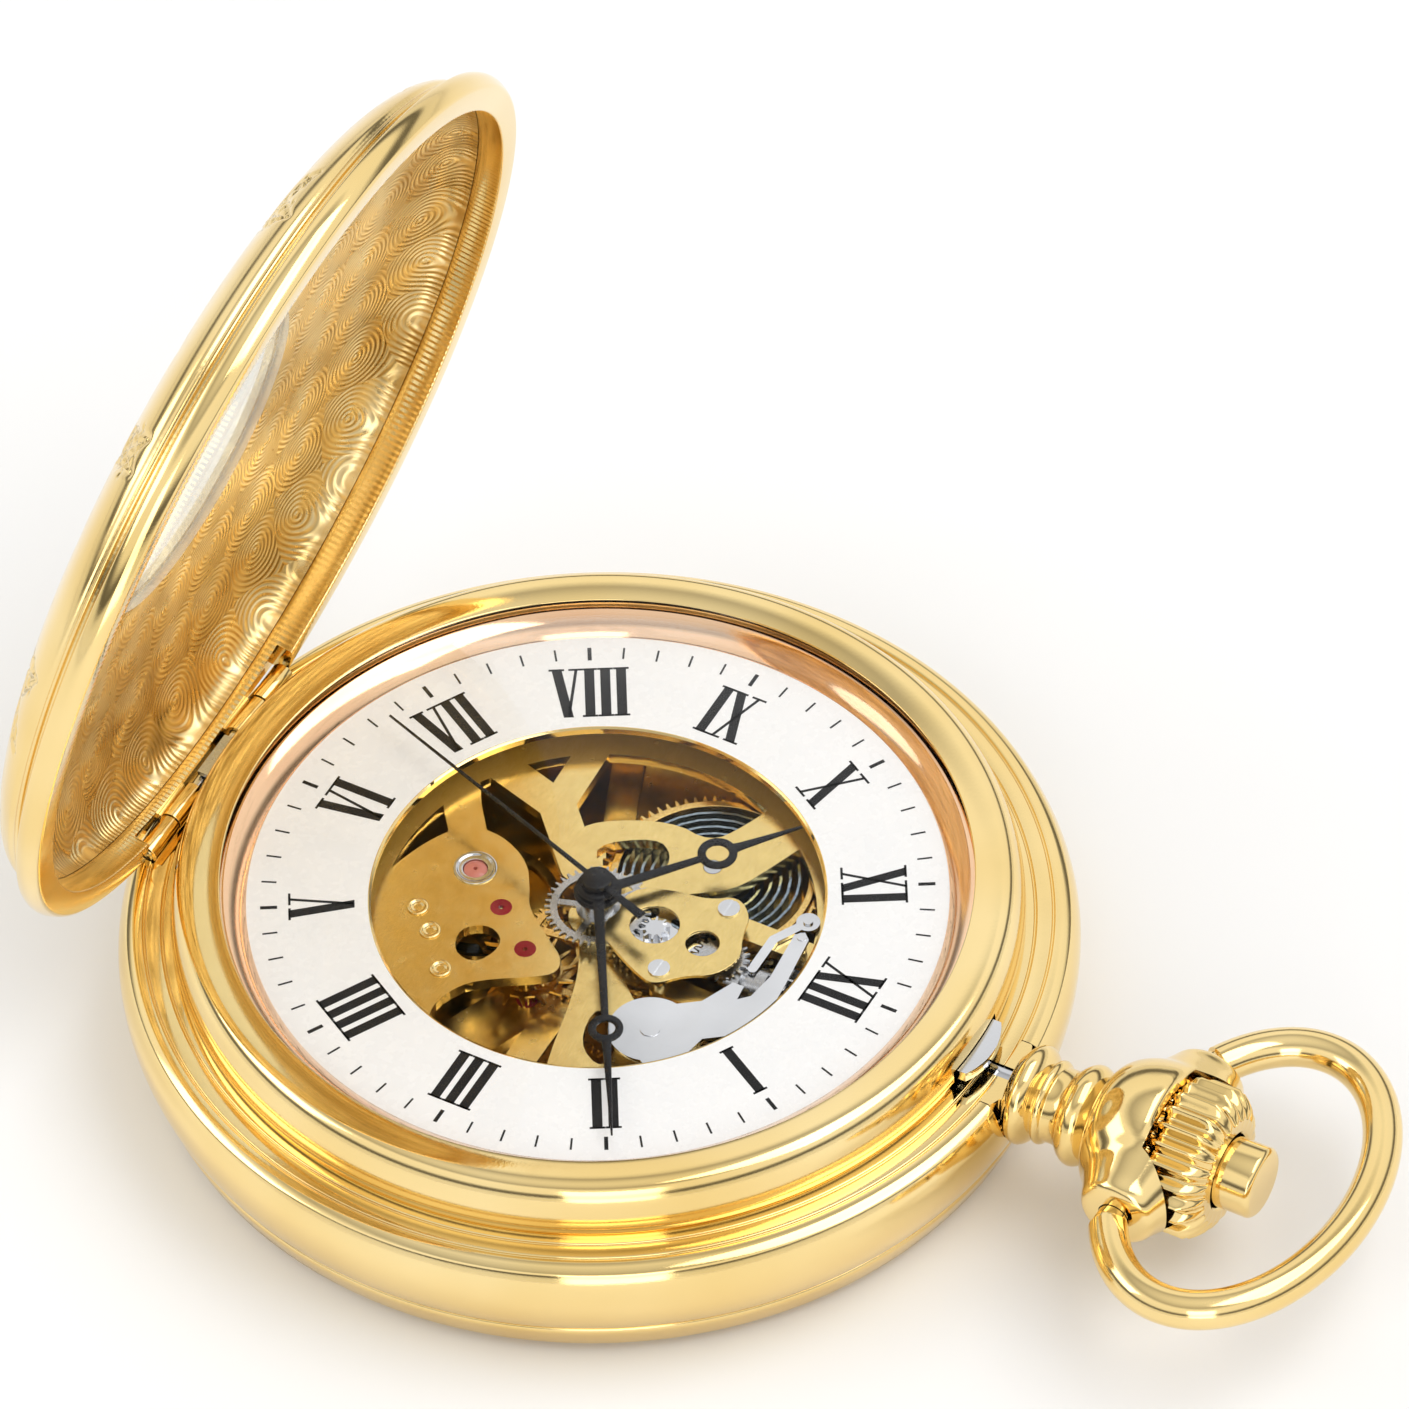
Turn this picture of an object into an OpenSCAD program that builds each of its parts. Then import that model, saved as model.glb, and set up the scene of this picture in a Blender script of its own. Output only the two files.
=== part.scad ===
// Demi-hunter pocket watch, hand wound, with an open dial and centre seconds.
// Millimetres. The watch lies on its back: +Z is up through the dial, +Y points
// to the pendant and twelve o'clock, +X to three o'clock. The origin is the
// middle of the flat part of the back. Angles on the dial run clockwise from
// twelve.

/* [Case] */
// Largest diameter of the case band
case_d = 48; // [47.9:0.1:48.2]
// Height of the dial's top face above the back
dial_z = 8.4; // [8.4:0.1:8.5]
// Outer diameter of the bezel
bezel_d = 42.6; // [42.5:0.1:42.7]
// Radius of the opening in the middle of the dial
aperture_r = 11.3; // [11:0.1:11.6]
// Radius of the round window in the lid
window_r = 8.2; // [7:0.1:9]

/* [Lid] */
// How far the lid stands open, measured from closed
lid_open = 78; // [60:1:78]

/* [Hands] */
// Direction of the hour hand, clockwise from twelve
hour_dir = 309.6; // [0:0.1:360]
// Direction of the minute hand, clockwise from twelve
minute_dir = 59; // [0:0.1:360]
// Direction of the seconds hand, clockwise from twelve
second_dir = 199; // [0:0.1:360]

/* [Pendant] */
// Thickness of the bow's wire
bow_wire_d = 2; // [1.8:0.1:2]
// Number of flutes on the crown
crown_flutes = 24; // [16:1:28]

/* [Hidden] */
$fn = 96;
e = 0.01;
big = 60;

gold = [0.93, 0.75, 0.36];
pale_gold = [0.9, 0.78, 0.48];
steel = [0.78, 0.79, 0.81];
dark_steel = [0.32, 0.33, 0.35];
ruby = [0.75, 0.16, 0.18];
enamel = [0.95, 0.95, 0.93];
black = [0.05, 0.05, 0.06];
glass = [0.85, 0.9, 0.92, 0.35];

case_r = case_d / 2;
bezel_r = bezel_d / 2;

// case heights
ledge_z = dial_z - 1.4;
ledge_bottom_z = dial_z - 2.2;
band_z = dial_z - 3.1;
back_seam_z = 2.3;
cavity_r = 21.3;
bezel_top_z = dial_z + 1.6;
crystal_seat_z = dial_z + 0.95;
crystal_apex_z = dial_z + 2.8;
crystal_r = 19.1;
crystal_t = 0.5;
stem_z = dial_z - 2.3;

// lid
hinge_y = -21.9;
hinge_z = dial_z - 1.2;
knuckle_r = 0.58;
pin_r = 0.35;
lid_r = 23.2;
lid_edge_z = ledge_z + 0.07;
lid_seam_z = dial_z + 0.2;
lid_apex_z = dial_z + 4.2;
lid_wall_r = 21.75;
lid_chord_y = -22.15;
lid_notch_z = dial_z - 0.45;
dome_power = 2.6;
hinge_half = 7;
lid_knuckle_out = 4.5;
lid_knuckle_in = 2.1;
case_knuckle_in = 4.6;

// heights of the movement, all below the dial's top face
function level(d) = dial_z - d;
plate_top = level(1.5);
plate_web = level(2.1);
ring_bottom = level(4.35);
flange_bottom = level(3.95);
plate_r = 18;
plate_bore_r = 15;
flange_r = 13.6;

// places of the arbors
function polar(r, a) = [r * cos(a), r * sin(a)];
function dist(a, b) = norm(b - a);
function heading(a, b) = atan2(b[1] - a[1], b[0] - a[0]);
centre_at = [0, 0];
barrel_at = [-5.5, 3.5];
third_at = polar(4.3, 61.6);
escape_at = [3.6, -2.2];
pallet_at = [1.7, -4.6];
balance_at = [0, -7];
minute_wheel_at = [0, 3.2];
crown_wheel_at = [0, 8.95];

// tooth counts
barrel_n = 72;
centre_pinion_n = 12;
centre_n = 64;
third_pinion_n = 8;
third_n = 60;
fourth_pinion_n = 8;
fourth_n = 80;
escape_pinion_n = 8;
escape_n = 15;
cannon_n = 12;
minute_n = 36;
minute_pinion_n = 10;
hour_n = 40;
setting_n = 20;
crown_n = 20;
transfer_n = 16;
ratchet_n = 24;
winding_n = 16;

// a pair's module follows from its centre distance
function pair_module(a, b, na, nb) = 2 * dist(a, b) / (na + nb);
barrel_m = pair_module(barrel_at, centre_at, barrel_n, centre_pinion_n);
centre_m = pair_module(centre_at, third_at, centre_n, third_pinion_n);
third_m = pair_module(third_at, centre_at, third_n, fourth_pinion_n);
fourth_m = pair_module(centre_at, escape_at, fourth_n, escape_pinion_n);
works_m = pair_module(centre_at, minute_wheel_at, cannon_n, minute_n);
hour_m = pair_module(centre_at, minute_wheel_at, hour_n, minute_pinion_n);
wind_m = 2 * dist(crown_wheel_at, barrel_at) / (crown_n + 2 * transfer_n + ratchet_n);
setting_at = [0, minute_wheel_at[1] + works_m * (minute_n + setting_n) / 2];
transfer_at = crown_wheel_at
  + polar(wind_m * (crown_n + transfer_n) / 2, heading(crown_wheel_at, barrel_at));

// Turn of gear B that meshes with gear A, whose tooth stands at turn_a
function mesh(at_a, n_a, turn_a, at_b, n_b) =
  heading(at_a, at_b) + 180 + 180 / n_b - (turn_a - heading(at_a, at_b)) * n_a / n_b;

barrel_turn = heading(barrel_at, centre_at);
centre_pinion_turn = mesh(barrel_at, barrel_n, barrel_turn, centre_at, centre_pinion_n);
centre_turn = heading(centre_at, third_at);
third_pinion_turn = mesh(centre_at, centre_n, centre_turn, third_at, third_pinion_n);
third_turn = heading(third_at, centre_at);
fourth_pinion_turn = mesh(third_at, third_n, third_turn, centre_at, fourth_pinion_n);
fourth_turn = heading(centre_at, escape_at);
escape_pinion_turn = mesh(centre_at, fourth_n, fourth_turn, escape_at, escape_pinion_n);
cannon_turn = heading(centre_at, minute_wheel_at);
minute_turn = mesh(centre_at, cannon_n, cannon_turn, minute_wheel_at, minute_n);
minute_pinion_turn = heading(minute_wheel_at, centre_at);
hour_turn = mesh(minute_wheel_at, minute_pinion_n, minute_pinion_turn, centre_at, hour_n);
setting_turn = mesh(minute_wheel_at, minute_n, minute_turn, setting_at, setting_n);
crown_turn = 90;
transfer_turn = mesh(crown_wheel_at, crown_n, crown_turn, transfer_at, transfer_n);
ratchet_turn = mesh(transfer_at, transfer_n, transfer_turn, barrel_at, ratchet_n);

// radii of wheels at the tips
function tip_r(m, n) = m * (n / 2 + 0.92);
function root_r(m, n) = m * (n / 2 - 1.3);

// keyless works along the stem
stem_r = 0.6;
stem_tube_r = 0.9;
clutch_y0 = 7.5;
clutch_y1 = 9.7;
winding_y0 = 10.2;
winding_y1 = 11.2;
winding_r = 1.4;
stem_inner_y = 6.9;
crown_y0 = 32.05;
crown_y1 = 35.3;
crown_r = 3.95;
crown_bore_r = 1.95;
button_end_y = 37.2;
button_r = 1.85;
rod_r = 0.4;
cross_pin_y = 21.4;

// pendant and bow
pendant_y0 = 22.6;
head_y = 31.6;
head_half = 5.3;
socket_r = 2.1;
bow_pin_r = 0.8;
bow_r = bow_wire_d / 2;
bow_y = 36.2;
bow_a = 9.15;
bow_b = 5.95;

// ---------- shared shapes ----------

module at(p, z = 0) { translate([p[0], p[1], z]) children(); }

// disc or ring between two heights
module disc(r, z0, z1, bore = 0) {
  translate([0, 0, z0]) difference() {
    cylinder(r = r, h = z1 - z0);
    if (bore > 0) translate([0, 0, -1]) cylinder(r = bore, h = z1 - z0 + 2);
  }
}

// cylinder along Y
module rod(r, y0, y1, z, x = 0) {
  translate([x, y0, z]) rotate([-90, 0, 0]) cylinder(r = r, h = y1 - y0);
}

// cylinder along X
module bar(r, x0, x1, y, z) {
  translate([x0, y, z]) rotate([0, 90, 0]) cylinder(r = r, h = x1 - x0);
}

module block(x0, x1, y0, y1, z0, z1) {
  translate([x0, y0, z0]) cube([x1 - x0, y1 - y0, z1 - z0]);
}

// straight arm with round ends, seen in plan
module arm2d(a, b, w) {
  translate(a) rotate(heading(a, b)) translate([0, -w / 2]) square([dist(a, b), w]);
  translate(a) circle(d = w);
  translate(b) circle(d = w);
}

module path2d(points, w) {
  for (i = [0 : len(points) - 2]) arm2d(points[i], points[i + 1], w);
}

// one radial sector, angles clockwise from twelve
module sector2d(r0, r1, a0, a1) {
  steps = 24;
  polygon(concat(
    [for (i = [0 : steps]) let (a = a0 + (a1 - a0) * i / steps) [r1 * sin(a), r1 * cos(a)]],
    [for (i = [steps : -1 : 0]) let (a = a0 + (a1 - a0) * i / steps) [r0 * sin(a), r0 * cos(a)]]
  ));
}

function gear_points(m, n) = [
  for (i = [0 : n - 1])
    for (c = [[-0.25, root_r(m, n)], [-0.1, tip_r(m, n)], [0.1, tip_r(m, n)], [0.25, root_r(m, n)]])
      polar(c[1], (i + c[0]) * 360 / n)
];

module gear2d(m, n) { polygon(gear_points(m, n)); }

// wheel with an open web: teeth, rim, spokes and hub
module spoked2d(m, n, spokes, rim, hub, w) {
  difference() {
    gear2d(m, n);
    difference() {
      circle(r = root_r(m, n) - rim);
      circle(r = hub);
      for (i = [0 : spokes - 1]) rotate(i * 360 / spokes) translate([0, -w / 2]) square([2 * m * n, w]);
    }
  }
}

module slab(z0, z1) { translate([0, 0, z0]) linear_extrude(z1 - z0) children(); }

// arbor with a pivot at each end
module arbor(z0, z1, r = 0.25, pivot = 0.45, pivot_r = 0.11) {
  disc(r, z0 + pivot, z1 - pivot);
  disc(pivot_r, z0, z1);
}

// slotted screw with its head's face at z1, pointing down
module screw(p, z1, head_r, head_h, shank_r, length) {
  at(p) difference() {
    union() {
      disc(head_r, z1 - head_h, z1);
      disc(shank_r, z1 - length, z1 - head_h + e);
    }
    block(-big, big, -0.11 * head_r, 0.11 * head_r, z1 - 0.4 * head_h, z1 + 1);
  }
}

// the same screw seen from the back
module back_screw(p, z0, head_r, head_h, shank_r, length) {
  translate([0, 0, z0]) mirror([0, 0, 1]) screw(p, 0, head_r, head_h, shank_r, length);
}

// turn the closed lid to where it stands
module open_lid() {
  translate([0, hinge_y, hinge_z]) rotate([lid_open, 0, 0]) translate([0, -hinge_y, -hinge_z])
    children();
}

// ---------- case ----------

// radius of the band at height z
function band_r(z) = z < band_z
  ? case_r - 0.7 * pow((band_z - z) / (band_z - 2.5), 2)
  : case_r - 0.55 * pow((z - band_z) / 1.6, 2);

module case_body() {
  steps = 16;
  z_low = back_seam_z + 0.2;
  z_high = ledge_z - 0.1;
  color(gold) difference() {
    rotate_extrude() polygon(concat(
      [[20.05, ledge_z], [20.05, ledge_bottom_z], [cavity_r, ledge_bottom_z - 0.2],
       [cavity_r, back_seam_z], [band_r(z_low) - 0.2, back_seam_z]],
      [for (i = [0 : steps]) let (z = z_low + (z_high - z_low) * i / steps) [band_r(z), z]],
      [[band_r(z_high) - 0.15, ledge_z], [22.75, ledge_z], [22.65, ledge_z - 0.1], [22.55, ledge_z]]
    ));
    // bed of the hinge, with a flat floor
    block(-hinge_half - 0.1, hinge_half + 0.1, -22.75, -20.95, ledge_z - 0.65, ledge_z + 1);
    // slot for the lift spring
    block(-1.8, 1.8, -21.75, -19, ledge_bottom_z - 1, ledge_z + 1);
    // slot for the lock spring's catch
    block(-2.2, 2.2, 19, 21.2, ledge_bottom_z - 1, ledge_z + 1);
    // hole for the stem
    rod(1.7, 18, 26, stem_z);
    // bed of the pendant
    rod(2.45, pendant_y0, 26, stem_z);
  }
}

module back_cover() {
  steps = 10;
  color(gold) rotate_extrude() polygon(concat(
    [[0, 0], [16, 0]],
    [for (i = [1 : steps]) let (t = i / steps) [16 + 6.75 * sin(90 * t), 0.8 * (1 - cos(90 * t))]],
    [[23.25, 2.1], [23.15, back_seam_z], [21.25, back_seam_z], [21.25, 3.2], [20.7, 3.2], [20.7, 1.9],
     [20, 1.2], [16, 0.75], [0, 0.7]]
  ));
}

module bezel() {
  steps = 12;
  // the rounded shoulder runs from the top land down to the seam
  color(gold) difference() {
    rotate_extrude() polygon(concat(
      [[19.5, ledge_z - 0.7], [20, ledge_z - 0.7], [20, ledge_z], [bezel_r - 0.1, ledge_z],
       [bezel_r - 0.1, ledge_z + 0.25]],
      [for (i = [0 : steps]) let (a = 90 * i / steps)
        [20 + (bezel_r - 20) * pow(cos(a), 0.8), ledge_z + 0.6 + (bezel_top_z - ledge_z - 0.6) * sin(a)]],
      [[19.3, bezel_top_z], [18.75, bezel_top_z - 0.12], [18.75, crystal_seat_z + 0.45],
       [crystal_r + 0.02, crystal_seat_z + 0.45], [crystal_r + 0.02, crystal_seat_z - 0.2],
       [19.5, crystal_seat_z - 0.2]]
    ));
    // window for the lock spring's catch
    block(-2.2, 2.2, 19, 22, ledge_z - 1, dial_z - 0.1);
    // room for the lift spring
    block(-1.8, 1.8, -22, -19, ledge_z - 1, dial_z - 0.1);
  }
}

module crystal() {
  steps = 16;
  r_face = 18.7;
  sag = crystal_apex_z - crystal_seat_z - 0.45;
  function face_z(r) = crystal_apex_z - sag * pow(r / r_face, 2);
  color(glass) rotate_extrude() polygon(concat(
    [for (i = [0 : steps]) let (r = r_face * i / steps) [r, face_z(r)]],
    [[crystal_r, crystal_seat_z + 0.42], [crystal_r, crystal_seat_z]],
    [for (i = [steps : -1 : 0]) let (r = (r_face - 0.2) * i / steps) [r, face_z(r) - crystal_t]]
  ));
}

module rehaut_ring() {
  color([0.93, 0.72, 0.5]) rotate_extrude() polygon([
    [17.5, dial_z], [18.6, crystal_seat_z - 0.02], [19.05, crystal_seat_z - 0.02], [19.05, dial_z]
  ]);
}

module case_knuckles() {
  color(gold) for (s = [0, 1]) mirror([s, 0, 0]) difference() {
    union() {
      bar(knuckle_r, case_knuckle_in, hinge_half, hinge_y, hinge_z);
      block(case_knuckle_in, hinge_half, -22.3, -21.5, ledge_z - 0.65, hinge_z);
    }
    bar(pin_r, case_knuckle_in - 1, hinge_half + 1, hinge_y, hinge_z);
  }
}

module hinge_pin() {
  color(steel) bar(pin_r, -hinge_half - 0.05, hinge_half + 0.05, hinge_y, hinge_z);
}

// ---------- pendant, bow and crown ----------

// outline of the pendant: distance along the axis and radius
module pendant() {
  bulb = 18;
  // a turned bead between two places on the axis
  function bead(y0, y1, r0, r1) =
    [for (i = [0 : 8]) [r0 + (r1 - r0) * sin(180 * i / 8), y0 + (y1 - y0) * i / 8]];
  color(gold) difference() {
    union() {
      translate([0, 0, stem_z]) rotate([-90, 0, 0]) rotate_extrude() polygon(concat(
        [[0, pendant_y0], [2.4, pendant_y0], [2.4, 23.2]],
        bead(23.6, 25.1, 1.9, 2.6),
        bead(25.15, 25.65, 2, 2.2),
        bead(26.6, 28.2, 2.1, 2.65),
        [for (i = [0 : bulb]) let (t = i / bulb)
          [2.2 + 2.05 * pow(sin(90 * t), 0.9), 28.2 + 3.2 * (1 - cos(90 * t))]],
        [[4.2, 31.7], [4, 31.95], [0, 31.95]]
      ));
      bar(socket_r, -head_half, head_half, head_y, stem_z);
    }
    // room for the crown between the two ears
    rod(4.1, 31.95, 36, stem_z);
    // bore for the stem, then the cup that takes the crown's foot
    rod(stem_tube_r + 0.08, pendant_y0 - 1, 34, stem_z);
    rod(3.4, 30.7, 34, stem_z);
    // step that clears the closed lid
    block(-3, 3, 22, 23.55, ledge_z, dial_z + 3);
    // sockets of the bow
    for (s = [0, 1]) mirror([s, 0, 0]) bar(bow_pin_r + 0.05, 3.9, 8, head_y, stem_z);
  }
}

// oval of round wire, open at the pendant, with a pin at each end
module bow() {
  rings = 64;
  sides = 20;
  end_x = 5.95;
  end_turn = 180 - asin(end_x / bow_a);
  function wire_ring(t) =
    let (mid = [bow_a * sin(t), bow_y + bow_b * cos(t), stem_z])
    let (side = [bow_b * sin(t), bow_a * cos(t), 0])
    let (out = side / norm(side))
    [for (j = [0 : sides - 1]) let (u = 360 * j / sides) mid + bow_r * (cos(u) * out + [0, 0, sin(u)])];
  points = [for (i = [0 : rings]) each wire_ring(end_turn * (2 * i / rings - 1))];
  walls = [for (i = [0 : rings - 1]) for (j = [0 : sides - 1])
    let (k = (j + 1) % sides)
    [i * sides + j, (i + 1) * sides + j, (i + 1) * sides + k, i * sides + k]];
  caps = [[for (j = [0 : sides - 1]) j], [for (j = [sides - 1 : -1 : 0]) rings * sides + j]];
  color(gold) {
    polyhedron(points, concat(walls, caps));
    for (s = [0, 1]) mirror([s, 0, 0]) bar(bow_pin_r, 4.2, end_x + 0.2, head_y, stem_z);
  }
}

module crown() {
  flute_r = 0.34;
  color(gold) difference() {
    translate([0, 0, stem_z]) rotate([-90, 0, 0]) rotate_extrude() polygon([
      [0, 31], [3.1, 31], [3.1, crown_y0], [crown_r - 0.35, crown_y0],
      [crown_r, crown_y0 + 0.5], [crown_r, crown_y1 - 0.9], [3.1, crown_y1 - 0.1], [2.7, crown_y1],
      [0, crown_y1]
    ]);
    for (i = [0 : crown_flutes - 1]) translate([0, 0, stem_z]) rotate([0, i * 360 / crown_flutes, 0])
      rod(flute_r, crown_y0 - 1, crown_y1 + 1, 0, crown_r + 0.08);
    // well of the button
    rod(crown_bore_r, 32.6, crown_y1 + 1, stem_z);
    // seat of the stem
    rod(stem_tube_r, 30, 33, stem_z);
  }
}

module crown_button() {
  color(gold) {
    difference() {
      rod(button_r, 34.9, button_end_y, stem_z);
      translate([0, button_end_y, stem_z]) rotate([-90, 0, 0]) rotate_extrude()
        polygon([[button_r - 0.2, 0], [button_r + 1, 0], [button_r + 1, -1.2]]);
    }
  }
  color(steel) {
    rod(rod_r, cross_pin_y, 35, stem_z);
    bar(0.2, -1.4, 1.4, cross_pin_y, stem_z);
  }
}

// return spring of the button, drawn at its pressed length
module button_spring() {
  turns = 4;
  color(steel) for (i = [0 : turns - 1]) translate([0, 32.76 + 0.34 * i, stem_z]) rotate([-90, 0, 0])
    rotate_extrude() translate([1.4, 0]) circle(r = 0.14);
}

module lock_spring() {
  color(steel) difference() {
    union() {
      // blade round the inside of the band
      slab(dial_z - 5, dial_z - 3.2) sector2d(20.45, 20.75, -55, 55);
      // leg and catch
      block(-1.9, 1.9, 20.4, 20.8, dial_z - 4.2, dial_z - 0.3);
      intersection() {
        block(-1.9, 1.9, 20.4, 23, dial_z - 0.8, dial_z - 0.2);
        translate([0, 18.6, 0]) disc(3.6, dial_z - 2, dial_z);
      }
    }
    rod(1.15, 19, 23, stem_z);
  }
}

module lift_spring() {
  color(steel) {
    slab(dial_z - 5, dial_z - 3.2) sector2d(20.45, 20.75, 125, 235);
    block(-1.4, 1.4, -21.15, -20.75, dial_z - 4.2, dial_z - 0.5);
    block(-1.4, 1.4, -20.8, -20.5, dial_z - 4.2, dial_z - 3.4);
    block(-1.4, 1.4, -22.1, -20.75, dial_z - 0.78, dial_z - 0.5);
  }
}

// ---------- lid ----------

module lid_trim() {
  block(-big, big, -big, lid_chord_y, 0, big);
}

module lid_rim() {
  steps = 8;
  color(gold) open_lid() difference() {
    rotate_extrude() polygon(concat(
      [[lid_wall_r, lid_edge_z], [lid_r - 0.1, lid_edge_z]],
      [for (i = [0 : steps]) let (t = i / steps)
        [lid_r + 0.25 * sin(150 * t), lid_edge_z + 0.08 + 1.12 * t]],
      [[22.45, lid_seam_z - 0.08], [22.3, lid_seam_z], [21.9, lid_seam_z], [lid_wall_r, lid_seam_z - 0.3]]
    ));
    lid_trim();
    // pocket behind the lip, for the catch
    intersection() {
      disc(22.35, lid_edge_z + 0.48, lid_seam_z - 0.25, 20);
      block(-3, 3, 0, big, 0, big);
    }
    // room for the hinge
    block(-hinge_half - 0.3, hinge_half + 0.3, -big, -20.5, 0, lid_notch_z);
  }
}

// height of a domed face of radius r_edge that rises by rise
function dome_z(r, r_edge, rise) =
  lid_seam_z + rise * pow(1 - pow(min(r / r_edge, 1), dome_power), 1 / dome_power);

module lid_cover() {
  steps = 40;
  out_r = 22.4;
  in_r = 21.9;
  out_rise = lid_apex_z - lid_seam_z;
  in_rise = out_rise - 0.55;
  seat_r = window_r + 0.5;
  color(gold) open_lid() difference() {
    rotate_extrude() polygon(concat(
      [for (i = [0 : steps]) let (r = window_r + (out_r - window_r) * sin(90 * i / steps))
        [r, dome_z(r, out_r, out_rise)]],
      [for (i = [steps : -1 : 0]) let (r = seat_r + (in_r - seat_r) * sin(90 * i / steps))
        [r, dome_z(r, in_r, in_rise)]],
      [[seat_r, lid_apex_z - 0.5], [window_r, lid_apex_z - 0.5]]
    ));
    lid_trim();
  }
}

module lid_window() {
  color(glass) open_lid() disc(window_r + 0.48, lid_apex_z - 0.95, lid_apex_z - 0.5);
}

module lid_knuckles() {
  color(gold) open_lid() for (s = [0, 1]) mirror([s, 0, 0]) difference() {
    union() {
      bar(knuckle_r, lid_knuckle_in, lid_knuckle_out, hinge_y, hinge_z);
      block(lid_knuckle_in, lid_knuckle_out, lid_chord_y, -21.8, hinge_z, lid_notch_z);
    }
    bar(pin_r + 0.03, lid_knuckle_in - 1, lid_knuckle_out + 1, hinge_y, hinge_z);
  }
}

// ---------- dial and hands ----------

case_screw_places = [for (a = [40, 160, 280]) polar(18.75, a)];

module movement_ring() {
  color(gold) difference() {
    disc(19.4, ring_bottom, level(0.4), plate_r);
    rod(1.3, 17, 20, stem_z);
    for (p = case_screw_places) at(p) disc(0.35, 0, ring_bottom + 1.2);
  }
}

// their heads reach over the edge of the main plate
module case_screws() {
  color(steel) for (p = case_screw_places) back_screw(p, ring_bottom - 0.4, 1.1, 0.4, 0.35, 1.5);
}

module dial() {
  color(enamel) disc(18.6, dial_z - 0.4, dial_z, aperture_r);
}

// open-ring hand, pointing to twelve
module ring_hand2d(length, hub, ring_y, ring_out, ring_in, w0, w1) {
  difference() {
    union() {
      circle(r = hub);
      polygon([[-w0 / 2, 0], [w0 / 2, 0], [w1 / 2, ring_y - ring_out + 0.1], [-w1 / 2, ring_y - ring_out + 0.1]]);
      translate([0, ring_y]) circle(r = ring_out);
      polygon([[-w1 * 0.75, ring_y + ring_out - 0.12], [w1 * 0.75, ring_y + ring_out - 0.12],
               [0.06, length], [-0.06, length]]);
    }
    translate([0, ring_y]) circle(r = ring_in);
  }
}

module hour_hand() {
  z = dial_z + 0.25;
  color(black) rotate([0, 0, -hour_dir]) difference() {
    union() {
      slab(z, z + 0.16) ring_hand2d(11, 1.2, 6.43, 1, 0.58, 0.55, 0.36);
      disc(1.15, z, z + 0.24);
    }
    disc(0.85, 0, big);
  }
}

module minute_hand() {
  z = dial_z + 0.68;
  color(black) rotate([0, 0, -minute_dir]) difference() {
    union() {
      slab(z, z + 0.15) ring_hand2d(16.5, 1.05, 9.5, 0.88, 0.48, 0.55, 0.36);
      disc(0.95, z - 0.1, z + 0.22);
    }
    disc(0.55, 0, big);
  }
}

module seconds_hand() {
  z = dial_z + 1.1;
  color(black) rotate([0, 0, -second_dir]) difference() {
    union() {
      slab(z, z + 0.1) polygon([[-0.25, -3.3], [0.25, -3.3], [0.13, 1], [0.06, 15.4], [-0.06, 15.4], [-0.13, 1]]);
      disc(0.75, z - 0.12, z + 0.3);
    }
    disc(0.15, 0, z + 0.12);
  }
}

// ---------- movement: frame ----------

// holes that the plate carries for the train, with the jewels pressed in
jewel_r = 0.55;
jewel_places = [third_at, escape_at, pallet_at];

// outline with its corners cut and cut again until it looks round
function soften(p, times = 2) = times == 0 ? p : soften([
  for (i = [0 : len(p) - 1]) let (a = p[i], b = p[(i + 1) % len(p)])
    each [0.75 * a + 0.25 * b, 0.25 * a + 0.75 * b]
], times - 1);

// lobe round the balance jewel, with a window beside the pallet jewel
module balance_lobe2d() {
  difference() {
    polygon(soften([[3.2, -11], [1.2, -10.6], [-0.8, -9.9], [-2.4, -8.8], [-2.6, -6.9], [-1.6, -4.9],
      [0, -3.9], [1.2, -3.3], [2.6, -1.3], [3.3, -0.3], [4.3, 0], [5.1, -1], [6.1, -2.7], [7.1, -3.9],
      [9, -4.6], [11, -3.8], [11.6, -5.5], [9.4, -8.2]]));
    polygon(soften([[3.9, -5.8], [3, -4.7], [3.4, -3.6], [4.4, -3.4], [5.6, -4], [5.4, -5.3]]));
  }
}

// frame over the barrel, with a window that shows the coils
module barrel_frame2d() {
  difference() {
    polygon(soften([[-1, 0.6], [-1.6, -2], [-4.2, -3.8], [-5.6, -3.2], [-7.3, 0.2], [-6.9, 2.6],
      [-8.6, 3.6], [-11.4, 4.6], [-10.2, 7.4], [-7, 6.2], [-4.6, 5.2], [-3.3, 3.2], [-2, 1.5]]));
    polygon(soften([[-4, -2.7], [-6, 0.1], [-5.3, 1.3], [-4, 1.5], [-2.5, -0.8]]));
  }
}

// broad arm toward two o'clock
module low_arm2d() {
  difference() {
    polygon(soften([[0.2, -1], [3.4, 0.8], [6.1, 1.6], [9.1, 2.2], [11.6, 3], [11, 6.2], [8.8, 8.2],
      [7, 7.6], [5, 5.6], [3.4, 3.2], [0.4, 1.4]]));
    polygon(soften([[5, 2.7], [7.9, 3.1], [9, 5.1], [6.6, 4.9]]));
  }
}

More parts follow.
